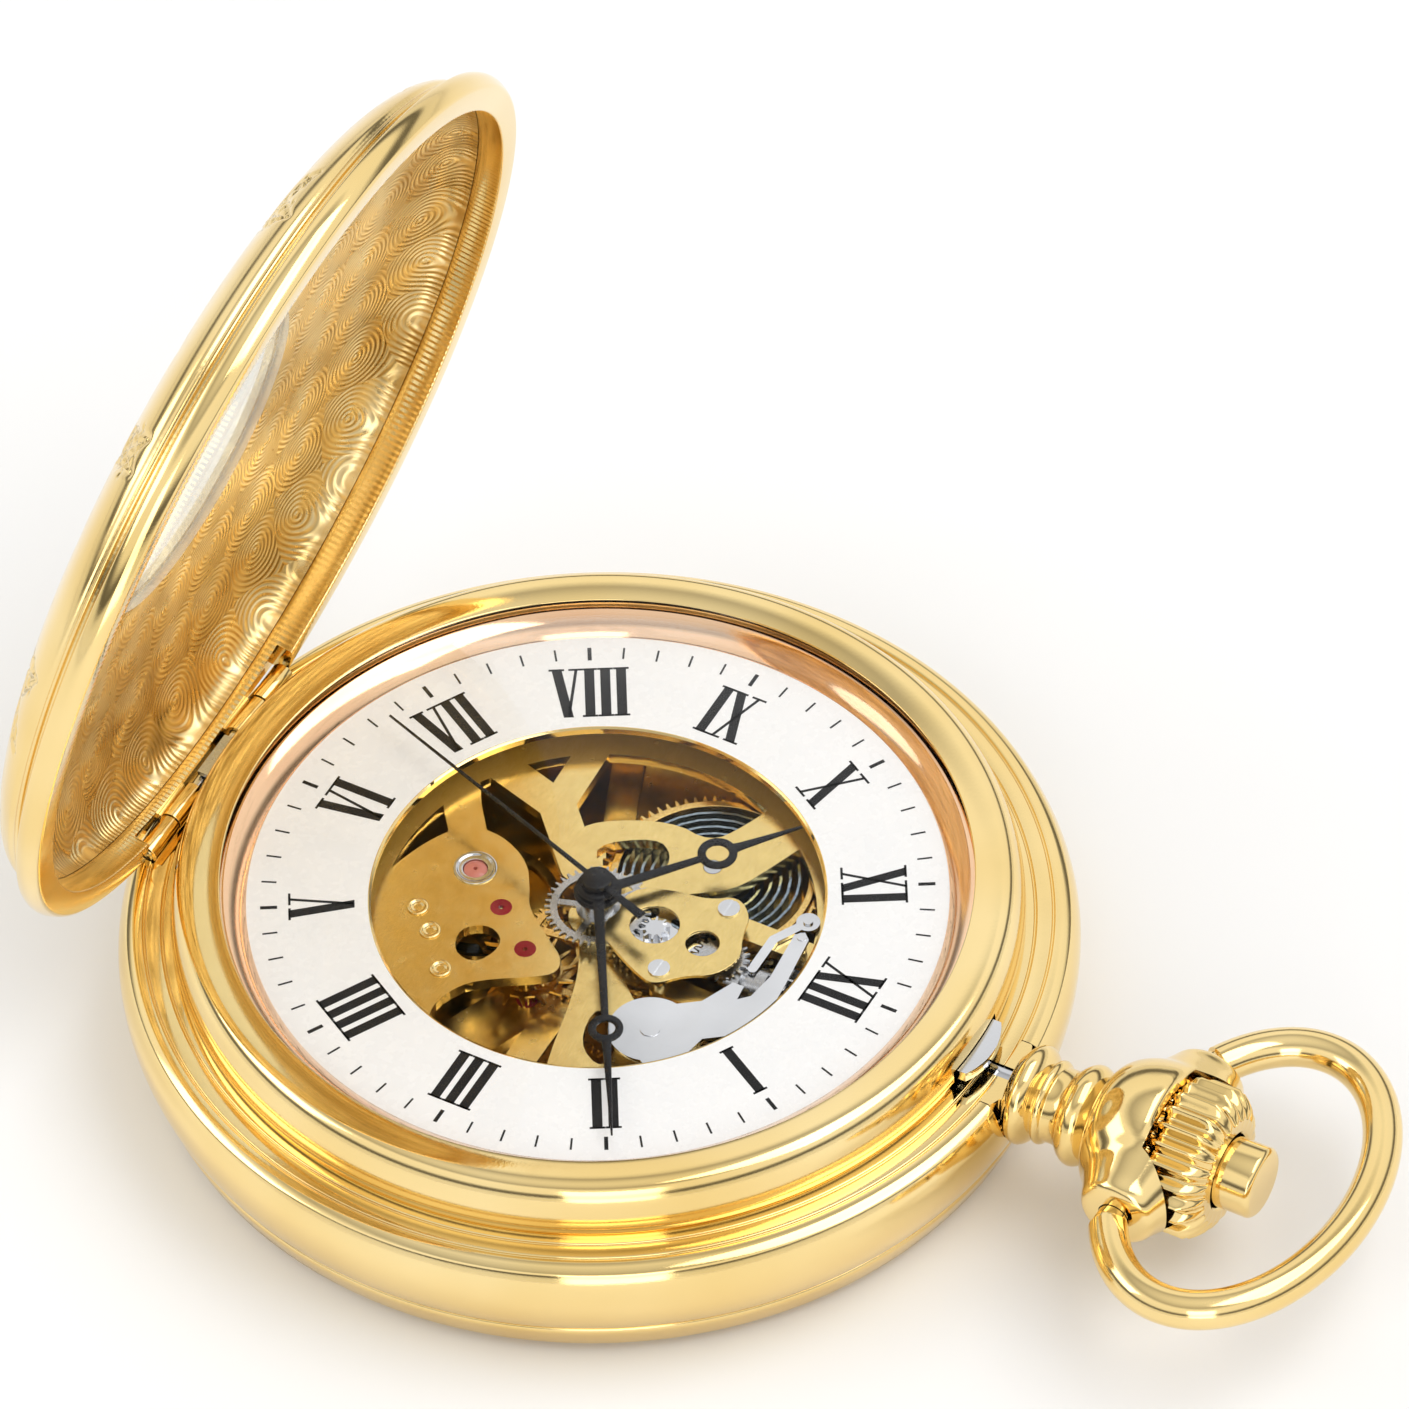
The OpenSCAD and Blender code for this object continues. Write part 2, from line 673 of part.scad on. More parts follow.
module main_plate() {
  color(pale_gold) difference() {
    union() {
      disc(plate_r, ring_bottom, plate_top, plate_bore_r);
      disc(plate_bore_r + e, flange_bottom, plate_top, flange_r);
      slab(plate_web, plate_top) {
        difference() { circle(r = flange_r + e); circle(r = 10.9); }
        circle(r = 1.5);
        balance_lobe2d();
        barrel_frame2d();
        low_arm2d();
        path2d([[-2.4, -2.4], [-5.6, -5.4], [-6.8, -9.6]], 1.9);
        path2d([[-5.6, -5.4], [-10.4, -5.6]], 1.7);
        path2d([[0, 0], third_at], 2.6);
        path2d([balance_at, [-3.4, -9.6], [-5.4, -10.8]], 1.9);
        translate(minute_wheel_at) circle(r = 1);
        path2d([[0, 0], [0, 4.9]], 1.2);
        path2d([[-2.6, 4.2], [-2.6, 8], [-2.6, 11.3]], 1.3);
        path2d([[2.5, 4.8], [2.6, 8], [2.6, 11.3]], 1.3);
      }
    }
    disc(0.42, 0, big);
    for (p = jewel_places) at(p) disc(jewel_r, 0, big);
    at(balance_at) disc(1.1, 0, big);
    at(barrel_at) disc(0.48, 0, big);
    at(minute_wheel_at) disc(0.22, 0, big);
    rod(0.95, 11, 20, stem_z);
    block(-1.65, 1.65, 7.1, 13.5, flange_bottom - 1, plate_top + 1);
    block(-1.15, 1.15, 5.6, 7.2, flange_bottom - 1, plate_top + 1);
  }
}

module jewel(p, z0, z1, bore = 0.13) { at(p) disc(jewel_r, z0, z1, bore); }

module jewels() {
  color(ruby) {
    for (p = jewel_places) jewel(p, plate_web, plate_top);
    for (p = [third_at, escape_at]) jewel(p, train_z0 + 0.1, train_z1);
    jewel(pallet_at, pallet_cock_z0, pallet_cock_z1);
    jewel(centre_at, train_z0 + 0.1, train_z1, 0.17);
  }
}

// shock settings of the balance staff: a steel ring round each stone
module balance_jewels() {
  module setting(z0, z1) {
    color(steel) at(balance_at) disc(1.1, z0, z1, jewel_r);
    color(ruby) jewel(balance_at, z0, z1, 0.1);
  }
  setting(plate_web, plate_top + 0.08);
  setting(cock_z0, cock_z1);
}

train_z0 = level(5.95);
train_z1 = level(5.3);
cock_z0 = level(6.4);
cock_z1 = level(5.75);
pallet_cock_z0 = level(3.68);
pallet_cock_z1 = level(3.4);
barrel_bridge_z0 = level(4.95);

module barrel_bridge() {
  color(pale_gold) difference() {
    slab(barrel_bridge_z0, ring_bottom) difference() {
      sector2d(2, 17.6, -108, 32);
      translate(third_at) circle(r = 4.2);
      circle(r = 4.3);
      translate([9, 12]) circle(r = 4.8);
    }
    at(barrel_at) disc(0.4, 0, big);
    for (p = barrel_screw_places) at(p) disc(0.5, 0, big);
    for (p = [crown_wheel_at, transfer_at]) at(p) disc(0.4, 0, big);
  }
}

barrel_screw_places = [polar(16.3, 185), polar(16.3, 135), polar(16.3, 92)];
train_screw_places = [polar(16.3, 40), polar(16.3, -25)];
centre_screw_places = [polar(14.1, 0), polar(14.1, 202)];
cock_screw_places = [polar(16.3, -84), polar(16.3, -96)];

module centre_bridge() {
  color(pale_gold) difference() {
    slab(level(4.15), flange_bottom) {
      path2d([centre_screw_places[1], [0, 0], centre_screw_places[0]], 1.6);
      circle(r = 1.2);
    }
    disc(0.42, 0, big);
    for (p = centre_screw_places) at(p) disc(0.3, 0, big);
  }
}

module train_bridge() {
  color(pale_gold) difference() {
    union() {
      slab(train_z0, train_z1) {
        path2d([train_screw_places[0], third_at, [0, 0]], 3);
        path2d([train_screw_places[1], escape_at, [0, 0]], 3);
        circle(r = 1.9);
      }
      for (p = train_screw_places) at(p) disc(1.3, train_z0, ring_bottom);
    }
    for (p = [third_at, escape_at, centre_at]) at(p) disc(jewel_r, train_z0 + 0.1, big);
    for (p = [third_at, escape_at, centre_at]) at(p) disc(0.3, 0, big);
    for (p = train_screw_places) at(p) disc(0.5, 0, big);
  }
}

// ring, flange and bridges share the plate's screw holes only as seats
module bridge_screws() {
  color([0.25, 0.35, 0.6]) {
    for (p = barrel_screw_places) back_screw(p, barrel_bridge_z0 - 0.35, 0.85, 0.35, 0.5, 0.95);
    for (p = train_screw_places) back_screw(p, train_z0 - 0.35, 0.85, 0.35, 0.5, 1.95);
    for (p = cock_screw_places) back_screw(p, cock_z0 - 0.35, 0.85, 0.35, 0.5, 2.4);
    for (p = centre_screw_places) back_screw(p, level(4.15) - 0.15, 0.5, 0.15, 0.3, 0.35);
    back_screw(pallet_screw_at, pallet_cock_z0 - 0.2, 0.5, 0.2, 0.3, 0.48);
  }
}

// ---------- movement: motion works, under the dial ----------

module works_cover() {
  color(pale_gold) difference() {
    slab(level(0.7), level(0.5)) difference() {
      polygon(soften([[-1.7, 0.9], [-2.5, 3], [-2.7, 4.8], [-3.6, 6], [-2.7, 7.2], [-1.4, 7.4], [0, 8.1],
        [1.6, 7.5], [2.3, 6.1], [3.6, 5], [3.2, 3.8], [2.5, 2.4], [1.6, 0.9]]));
      circle(r = 1.15);
      translate(minute_wheel_at) circle(r = 1.25);
      translate([0, 5.9]) circle(r = 0.85);
    }
    for (p = works_screw_places) at(p) disc(0.3, 0, big);
  }
}

works_screw_places = [[-2.6, 6], [2.5, 4.8]];

module works_screws() {
  color(steel) for (p = works_screw_places) screw(p, level(0.35) - 0.05, 0.55, 0.1, 0.3, 1.1);
}

module hour_wheel() {
  color(steel) difference() {
    union() {
      slab(level(0.92), level(0.76)) spoked2d(hour_m, hour_n, 5, 0.35, 1.1, 0.35);
      disc(0.85, level(0.92), dial_z + 0.49);
    }
    disc(0.58, 0, big);
  }
}

module minute_wheel() {
  at(minute_wheel_at) {
    color(steel) slab(level(1.22), level(1.04)) difference() {
      rotate(minute_turn) gear2d(works_m, minute_n);
      for (i = [0 : 4]) rotate(72 * i) translate([1.35, 0]) circle(r = 0.42);
    }
    color(steel) slab(level(1.05), level(0.73)) rotate(minute_pinion_turn) gear2d(hour_m, minute_pinion_n);
    color(dark_steel) {
      disc(0.2, plate_web, level(1.2));
      disc(0.3, level(1.45), level(1.2));
    }
  }
}

module cannon_pinion() {
  color(steel) difference() {
    union() {
      slab(level(1.4), level(1)) rotate(cannon_turn) gear2d(works_m, cannon_n);
      disc(0.55, level(1.4), dial_z + 0.9);
    }
    disc(0.38, 0, big);
  }
}

module setting_wheel() {
  color(steel) at(setting_at) {
    slab(level(1.22), level(1.04)) difference() {
      rotate(setting_turn) gear2d(works_m, setting_n);
      circle(r = 0.3);
    }
  }
}

rivet_at = [6.2, 6.3];
stop_pin_at = [-2.6, 10.1];

// steel plate that holds the setting lever, with its two fingers
module lever_spring() {
  color(steel) {
    slab(level(0.72), level(0.5)) {
      translate(rivet_at) circle(r = 2.1);
      polygon([[5.2, 5.2], [3.4, 7.7], [1.6, 8.5], [1.6, 9.1], [2.5, 9.2], [2, 9.7], [0.4, 9.95],
               [-2.6, 9.7], [-2.95, 10.1], [-2.6, 10.5], [0.4, 10.85], [3.4, 11.1], [4.5, 10.4],
               [5.6, 8.9], [7.2, 8.6], [8.6, 9.2], [9.2, 8.3], [8.2, 6.8]]);
    }
    at(rivet_at) disc(0.5, plate_top, level(0.45));
    at(stop_pin_at) disc(0.25, plate_top, level(0.45));
  }
}

lever_at = [-3.4, 12.6];
lever_pin_at = [-0.68, 12.2];

// its pin drops into the groove of the stem
module setting_lever() {
  color(steel) {
    slab(level(1.1), level(0.85)) path2d([lever_at, lever_pin_at], 0.8);
    at(lever_at) disc(0.2, plate_top, level(0.5));
    at(lever_pin_at) disc(0.28, stem_z - 0.1, level(0.9));
  }
}

yoke_at = [-4.2, 9.6];

// its tip lies in the groove of the clutch
module yoke() {
  color(steel) {
    slab(level(1.45), level(1.22)) {
      path2d([yoke_at, [-2.4, 8.6], [-0.2, 8.6]], 0.5);
      translate(yoke_at) circle(r = 0.6);
    }
    at(yoke_at) disc(0.25, plate_top, level(1.1));
  }
}

// ---------- movement: keyless works ----------

module winding_stem() {
  color(steel) difference() {
    union() {
      rod(0.5, stem_inner_y, winding_y1, stem_z);
      rod(stem_r, winding_y1, 20.2, stem_z);
      rod(stem_tube_r, 20, 32.6, stem_z);
    }
    // groove for the setting lever
    difference() {
      rod(1, 11.8, 12.6, stem_z);
      rod(0.35, 11, 13, stem_z);
    }
    // bore and slot for the button's rod
    rod(rod_r + 0.04, 20.25, 33, stem_z);
    block(-2, 2, 20.25, 22.2, stem_z - 0.24, stem_z + 0.24);
  }
}

clutch_n = 10;

// end teeth of the clutch and of the pinion it drives, a little narrower than their gaps
module ring_teeth(n, r_in, r_out, y0, y1, turn) {
  half = 180 * 0.4 / n;
  for (i = [0 : n - 1]) translate([0, 0, stem_z]) rotate([0, 360 * i / n + turn, 0])
    intersection() {
      difference() { rod(r_out, y0, y1, 0); rod(r_in, y0 - 1, y1 + 1, 0); }
      rotate([-90, 0, 0]) slab(y0, y1) polygon([[0, 0], polar(3, -half), polar(3, half)]);
    }
}

module clutch() {
  color(dark_steel) difference() {
    union() {
      rod(1.05, clutch_y0 + 0.35, clutch_y1 - 0.2, stem_z);
      ring_teeth(clutch_n, 0.6, 1.05, clutch_y0, clutch_y0 + 0.4, 0);
      ring_teeth(clutch_n, 0.6, 1.05, clutch_y1 - 0.25, clutch_y1 + 0.2, 0);
    }
    difference() {
      rod(1.3, 8.25, 8.95, stem_z);
      rod(0.75, 8, 9.2, stem_z);
    }
    rod(0.52, 6, 12, stem_z);
  }
}

module winding_pinion() {
  color(dark_steel) difference() {
    union() {
      translate([0, 0, stem_z]) rotate([-90, 0, 0]) slab(winding_y0, winding_y1)
        rotate(90) gear2d(2 * winding_r / winding_n, winding_n);
      ring_teeth(clutch_n, 0.6, 1.05, winding_y0 - 0.4, winding_y0 + e, 180 / clutch_n);
    }
    rod(0.52, 6, 12, stem_z);
  }
}

wheels_z0 = level(4.2);
wheels_z1 = level(3.95);

module crown_wheel() {
  crown_teeth_r = 1.75;
  color(steel) at(crown_wheel_at) {
    slab(wheels_z0, wheels_z1) rotate(crown_turn) difference() {
      gear2d(wind_m, crown_n);
      circle(r = 0.42);
    }
    // upright teeth that meet the winding pinion
    for (i = [0 : crown_n - 1]) rotate(90 + (i + 0.5) * 360 / crown_n)
      block(crown_teeth_r - 0.25, crown_teeth_r + 0.25, -0.08, 0.08, wheels_z1 - e, level(3.58));
  }
}

module transfer_wheel() {
  color(steel) at(transfer_at) slab(wheels_z0, wheels_z1) rotate(transfer_turn) difference() {
    gear2d(wind_m, transfer_n);
    circle(r = 0.42);
  }
}

module ratchet_wheel() {
  color(steel) at(barrel_at) slab(wheels_z0, wheels_z1) rotate(ratchet_turn) difference() {
    gear2d(wind_m, ratchet_n);
    square(0.7, center = true);
  }
}

click_at = barrel_at + polar(4.3, 190);

module click() {
  color(steel) difference() {
    at(click_at) slab(wheels_z0, wheels_z1) {
      circle(r = 0.75);
      rotate(30) translate([-0.3, -0.6]) square([2, 0.45]);
    }
    at(click_at) disc(0.3, 0, big);
    at(barrel_at) disc(tip_r(wind_m, ratchet_n) + 0.04, 0, big);
  }
}

// ---------- movement: barrel and going train ----------

module barrel() {
  drum_r = 5.15;
  z0 = level(3.6);
  z1 = level(2.25);
  color(gold) at(barrel_at) {
    difference() {
      union() {
        disc(drum_r, z0, z1);
        slab(level(3), level(2.5)) rotate(barrel_turn) gear2d(barrel_m, barrel_n);
      }
      disc(drum_r - 0.35, z0 + 0.2, z1 + 1);
      disc(0.62, 0, big);
    }
  }
}

// coiled spring, wound about three quarters, as a spiral ribbon
module mainspring() {
  turns = 7;
  r0 = 1.3;
  pitch = 0.47;
  w = 0.13;
  steps = 28;
  function ribbon(r_add) = [for (i = [0 : turns * steps])
    let (a = 360 * i / steps) polar(r0 + pitch * i / steps + r_add, a)];
  inner = ribbon(0);
  outer = ribbon(w);
  color([0.45, 0.52, 0.6]) at(barrel_at) slab(level(3.35), level(2.35))
    polygon(concat(inner, [for (i = [len(outer) - 1 : -1 : 0]) outer[i]]));
}

module barrel_arbor() {
  color(steel) at(barrel_at) {
    disc(0.45, plate_web, plate_top);
    disc(0.58, level(3.6), plate_web);
    disc(1.1, level(3.35), level(2.35));
    slab(wheels_z0, level(3.55)) rotate(ratchet_turn) square(0.7, center = true);
    disc(0.38, barrel_bridge_z0, wheels_z0);
  }
}

module centre_wheel() {
  color(gold) {
    difference() {
      slab(level(3.85), level(3.7)) rotate(centre_turn) spoked2d(centre_m, centre_n, 5, 0.35, 1, 0.4);
      disc(0.38, 0, big);
    }
  }
  color(steel) difference() {
    union() {
      disc(0.38, level(4.12), dial_z + 0.95);
      slab(level(3.7), level(2.3)) rotate(centre_pinion_turn) gear2d(barrel_m, centre_pinion_n);
    }
    disc(0.2, 0, big);
  }
}

module third_wheel() {
  at(third_at) {
    color(gold) slab(level(4.6), level(4.45)) rotate(third_turn) spoked2d(third_m, third_n, 5, 0.35, 0.8, 0.4);
    color(steel) slab(level(4.08), level(3.62)) rotate(third_pinion_turn) gear2d(centre_m, third_pinion_n);
    color(steel) arbor(train_z0 + 0.15, plate_top - 0.15, 0.28, 0.55);
  }
}

module fourth_wheel() {
  color(gold) slab(level(5.1), level(4.95)) rotate(fourth_turn) spoked2d(fourth_m, fourth_n, 5, 0.35, 0.8, 0.4);
  color(steel) {
    slab(level(4.95), level(4.3)) rotate(fourth_pinion_turn) gear2d(third_m, fourth_pinion_n);
    disc(0.15, train_z0 + 0.15, dial_z + 1.22);
  }
}

escape_r = 2.5;

module escape_wheel() {
  pitch = 360 / escape_n;
  escape_turn = heading(escape_at, pallet_at) + pitch / 4;
  at(escape_at) {
    color(gold) slab(level(3.15), level(3)) rotate(escape_turn) difference() {
      polygon([for (i = [0 : escape_n - 1]) for (c = [[-0.14, 1.85], [0.16, escape_r], [0.26, escape_r], [0.2, 1.85]])
        polar(c[1], (i + c[0]) * pitch)]);
      difference() {
        circle(r = 1.5);
        circle(r = 0.6);
        for (i = [0 : 3]) rotate(90 * i) translate([0, -0.15]) square([3, 0.3]);
      }
    }
    color(steel) slab(level(5.2), level(4.75)) rotate(escape_pinion_turn) gear2d(fourth_m, escape_pinion_n);
    color(steel) arbor(train_z0 + 0.15, plate_top - 0.15, 0.17, 0.55);
  }
}

lever_dir = heading(pallet_at, balance_at);
pallet_screw_at = pallet_at + polar(3, heading(escape_at, pallet_at) + 55);

module pallet_fork() {
  fork_z0 = level(3.22);
  fork_z1 = level(2.95);
  reach = dist(pallet_at, balance_at) - 0.62;
  at(pallet_at) rotate(lever_dir) {
    color(steel) slab(fork_z0, fork_z1) {
      circle(r = 0.4);
      translate([0, -0.15]) square([reach - 0.3, 0.3]);
      translate([reach - 0.55, -0.36]) square([0.3, 0.72]);
      for (s = [-1, 1]) translate([reach - 0.35, s * 0.27 - 0.09]) square([0.45, 0.18]);
      translate([-0.25, -1.3]) square([0.35, 2.6]);
    }
    color(ruby) for (s = [-1, 1]) slab(fork_z0 + 0.02, fork_z1 - 0.02)
      translate([-0.75, s * 1.35 - 0.12]) square([0.75, 0.24]);
    color(steel) arbor(pallet_cock_z0 + 0.05, plate_top - 0.1, 0.2, 0.55);
  }
}

module pallet_cock() {
  color(pale_gold) difference() {
    slab(pallet_cock_z0, pallet_cock_z1) {
      arm2d(pallet_at, pallet_screw_at, 1.5);
    }
    at(pallet_at) disc(jewel_r, 0, big);
    at(pallet_screw_at) disc(0.3, 0, big);
  }
  color(pale_gold) at(pallet_screw_at) disc(0.7, pallet_cock_z1 - e, plate_web, 0.3);
}

module balance_wheel() {
  rim_z0 = level(4.7);
  rim_z1 = level(4.3);
  balance_r = 4.3;
  at(balance_at) {
    color(gold) slab(rim_z0, rim_z1) {
      difference() { circle(r = balance_r); circle(r = balance_r - 0.5); }
      rotate(90) square([2 * balance_r - 0.6, 0.5], center = true);
      circle(r = 0.7);
    }
    color(gold) for (i = [0 : 11]) rotate(30 * i + 15) translate([balance_r - 0.05, 0, level(4.5)])
      rotate([0, 90, 0]) cylinder(r = 0.16, h = 0.22);
    color(steel) disc(0.9, level(3.65), level(3.5));
    color(steel) disc(0.32, level(5.5), level(3.5));
    color(steel) arbor(cock_z0 + 0.3, plate_top - 0.2, 0.2, 0.4, 0.08);
    color(ruby) rotate(heading(balance_at, pallet_at)) translate([0.62, 0]) disc(0.1, level(3.5), level(2.95));
  }
}

module hairspring() {
  turns = 9;
  r0 = 0.55;
  pitch = 0.21;
  w = 0.05;
  steps = 24;
  inner = [for (i = [0 : turns * steps]) polar(r0 + pitch * i / steps, 360 * i / steps)];
  outer = [for (i = [0 : turns * steps]) polar(r0 + w + pitch * i / steps, 360 * i / steps)];
  color([0.3, 0.36, 0.55]) at(balance_at) {
    slab(level(5.32), level(5.14)) polygon(concat(inner, [for (i = [len(outer) - 1 : -1 : 0]) outer[i]]));
    disc(0.6, level(5.34), level(5.12), 0.34);
  }
}

module balance_cock() {
  color(pale_gold) difference() {
    union() {
      slab(cock_z0, cock_z1) {
        arm2d(balance_at, [0, -15.4], 3.4);
        translate(balance_at) circle(r = 2.1);
      }
      slab(cock_z0, ring_bottom) intersection() {
        sector2d(15.1, 17.6, 165, 195);
        translate([-4, -18]) square([8, 6]);
      }
    }
    at(balance_at) disc(1.1, 0, big);
    for (p = cock_screw_places) at(p) disc(0.5, 0, big);
  }
}

module regulator() {
  color(steel) difference() {
    at(balance_at) slab(cock_z0 - 0.25, cock_z0) {
      circle(r = 1.6);
      rotate(205) translate([0, -0.2]) square([3.6, 0.4]);
    }
    at(balance_at) disc(1.15, 0, big);
  }
}

case_body();
back_cover();
bezel();
crystal();
rehaut_ring();
case_knuckles();
pendant();
bow();
crown();
crown_button();
button_spring();
lock_spring();
lift_spring();
hinge_pin();
lid_rim();
lid_cover();
lid_window();
lid_knuckles();
movement_ring();
case_screws();
dial();
hour_hand();
minute_hand();
seconds_hand();
main_plate();
jewels();
balance_jewels();
works_cover();
works_screws();
hour_wheel();
minute_wheel();
cannon_pinion();
setting_wheel();
clutch();
winding_pinion();
winding_stem();
setting_lever();
yoke();
lever_spring();
barrel();
mainspring();
barrel_arbor();
ratchet_wheel();
transfer_wheel();
crown_wheel();
click();
barrel_bridge();
centre_bridge();
train_bridge();
bridge_screws();
centre_wheel();
third_wheel();
fourth_wheel();
escape_wheel();
pallet_fork();
pallet_cock();
balance_wheel();
hairspring();
balance_cock();
regulator();
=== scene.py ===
import math
import random

import bmesh
import bpy
import numpy as np
from mathutils import Matrix, Vector, kdtree


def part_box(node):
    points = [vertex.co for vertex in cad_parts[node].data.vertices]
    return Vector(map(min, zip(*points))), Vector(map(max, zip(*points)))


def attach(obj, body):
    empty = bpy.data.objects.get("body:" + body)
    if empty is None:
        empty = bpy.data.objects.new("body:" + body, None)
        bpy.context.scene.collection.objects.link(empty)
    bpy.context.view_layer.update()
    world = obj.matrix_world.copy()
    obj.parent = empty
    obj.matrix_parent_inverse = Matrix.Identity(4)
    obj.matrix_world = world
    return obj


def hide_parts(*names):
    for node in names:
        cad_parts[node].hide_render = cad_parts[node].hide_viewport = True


# Demi-hunter pocket watch. Sizes in this script are millimetres in the CAD
# frame and become metres when a mesh is made. Clock angles run from twelve.

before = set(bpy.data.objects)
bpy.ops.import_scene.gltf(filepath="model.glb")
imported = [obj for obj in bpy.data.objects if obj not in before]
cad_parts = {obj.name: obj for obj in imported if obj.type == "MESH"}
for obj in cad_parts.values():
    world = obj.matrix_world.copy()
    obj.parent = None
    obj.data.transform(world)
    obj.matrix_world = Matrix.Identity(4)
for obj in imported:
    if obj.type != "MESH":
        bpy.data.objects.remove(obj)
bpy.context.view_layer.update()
MM = 0.001
rng = random.Random(12)

DIAL_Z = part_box("dial")[1].z / MM
LEDGE_Z = DIAL_Z - 1.4
STEM_Z = DIAL_Z - 2.3
HINGE_Y = -21.9
HINGE_Z = DIAL_Z - 1.2
LID_OPEN = 78
CHORD_Y = -22.15
LID_SEAM_Z = DIAL_Z + 0.2
APERTURE_R = 11.3
WINDOW_R = 8.2
SHARP = math.radians(33)


# ---------- node materials ----------

class Shader:
    """A Principled material and the few node recipes that the watch needs."""

    def __init__(self, name, color, metallic=1.0, roughness=0.2, **sockets):
        self.mat = bpy.data.materials.new(name)
        self.mat.use_nodes = True
        self.tree = self.mat.node_tree
        self.bsdf = self.tree.nodes["Principled BSDF"]
        self.bsdf.inputs["Base Color"].default_value = (*color, 1)
        self.bsdf.inputs["Metallic"].default_value = metallic
        self.bsdf.inputs["Roughness"].default_value = roughness
        for key, value in sockets.items():
            self.bsdf.inputs[key.replace("_", " ")].default_value = value
        self.coords = self.node("ShaderNodeTexCoord").outputs["Object"]

    def node(self, kind, **props):
        made = self.tree.nodes.new(kind)
        for key, value in props.items():
            setattr(made, key, value)
        return made

    def link(self, a, b):
        self.tree.links.new(a, b)

    def math(self, op, a, b=None, c=None):
        made = self.node("ShaderNodeMath", operation=op)
        for i, v in enumerate((a, b, c)):
            if v is None:
                continue
            if isinstance(v, (int, float)):
                made.inputs[i].default_value = v
            else:
                self.link(v, made.inputs[i])
        return made.outputs[0]

    def stretch(self, scale):
        made = self.node("ShaderNodeMapping")
        made.inputs["Scale"].default_value = scale
        self.link(self.coords, made.inputs["Vector"])
        return made.outputs["Vector"]

    def noise(self, per_mm, detail=3.0, stretch=(1, 1, 1)):
        made = self.node("ShaderNodeTexNoise")
        made.inputs["Scale"].default_value = per_mm / MM
        made.inputs["Detail"].default_value = detail
        self.link(self.stretch(stretch), made.inputs["Vector"])
        return made.outputs["Fac"]

    def remap(self, value, lo, hi, from_lo=0.3, from_hi=0.7):
        made = self.node("ShaderNodeMapRange")
        self.link(value, made.inputs["Value"])
        for key, v in (("From Min", from_lo), ("From Max", from_hi), ("To Min", lo), ("To Max", hi)):
            made.inputs[key].default_value = v
        return made.outputs["Result"]

    def ramp(self, value, stops):
        made = self.node("ShaderNodeValToRGB")
        while len(made.color_ramp.elements) < len(stops):
            made.color_ramp.elements.new(0.5)
        for element, (at, color) in zip(made.color_ramp.elements, stops):
            element.position = at
            element.color = (*color, 1)
        self.link(value, made.inputs["Fac"])
        return made.outputs["Color"]

    def color(self, value, dark, light):
        self.link(self.ramp(value, [(0.3, dark), (0.7, light)]), self.bsdf.inputs["Base Color"])

    def rough(self, value, lo, hi):
        self.link(self.remap(value, lo, hi), self.bsdf.inputs["Roughness"])

    def bump(self, height, depth_mm, strength=1.0):
        made = self.node("ShaderNodeBump")
        made.inputs["Strength"].default_value = strength
        made.inputs["Distance"].default_value = depth_mm * MM
        self.link(height, made.inputs["Height"])
        last = self.bsdf.inputs["Normal"]
        if last.is_linked:
            self.link(last.links[0].from_socket, made.inputs["Normal"])
        self.link(made.outputs["Normal"], last)


def polished(name, dark, light, roughness=(0.05, 0.13), wave=0.004, grain=0.0012):
    """Mirror polish: slow colour drift, faint polishing waves and hairline wear."""
    s = Shader(name, light)
    s.color(s.noise(0.09, 2), dark, light)
    s.rough(s.noise(0.5, 5), *roughness)
    s.bump(s.noise(0.22, 2), wave)
    s.bump(s.noise(6, 4, (1, 1, 6)), grain)
    return s.mat


def grained(name, dark, light, roughness=(0.2, 0.34), stretch=(1, 14, 1), depth=0.004, fine=7):
    """Satin metal with fine straight grain."""
    s = Shader(name, light)
    grain = s.noise(fine, 4, stretch)
    s.color(grain, dark, light)
    s.rough(s.noise(1.2, 3), *roughness)
    s.bump(grain, depth)
    s.bump(s.noise(0.6, 2), 0.006)
    return s.mat


def perlage(name, dark, light, spot_mm, ring_mm):
    """Overlapping turned spots: fine rings round the middle of each spot. The colour holds painted sheen and
    shade: light and dark bands along the rings, and each spot painted darker toward its edge.
    """
    s = Shader(name, light, roughness=0.3)
    plan = s.node("ShaderNodeUVMap", uv_map="plan").outputs["UV"]
    cells = s.node("ShaderNodeTexVoronoi", voronoi_dimensions="2D")
    cells.inputs["Scale"].default_value = PLAN_SPAN / spot_mm
    cells.inputs["Randomness"].default_value = 0.3
    s.link(plan, cells.inputs["Vector"])
    away = s.math("MULTIPLY", cells.outputs["Distance"], spot_mm)
    rings = s.math("SINE", s.math("MULTIPLY", away, 2 * math.pi / ring_mm))
    tint = s.noise(0.16, 3)
    # painted sheen and shade: the colour bands light and dark along each spot's rings and darkens toward each
    # spot's edge, over a random tone
    shade = s.math("MULTIPLY_ADD", rings, 0.09, tint)
    s.color(s.math("MULTIPLY_ADD", away, -0.09, s.math("ADD", shade, 0.13)), dark, light)
    s.rough(s.noise(0.8, 3), 0.24, 0.36)
    s.bump(rings, 0.022)
    s.bump(s.math("MULTIPLY", away, -1.0), 0.1)
    s.bump(s.noise(5, 3), 0.002)
    return s.mat


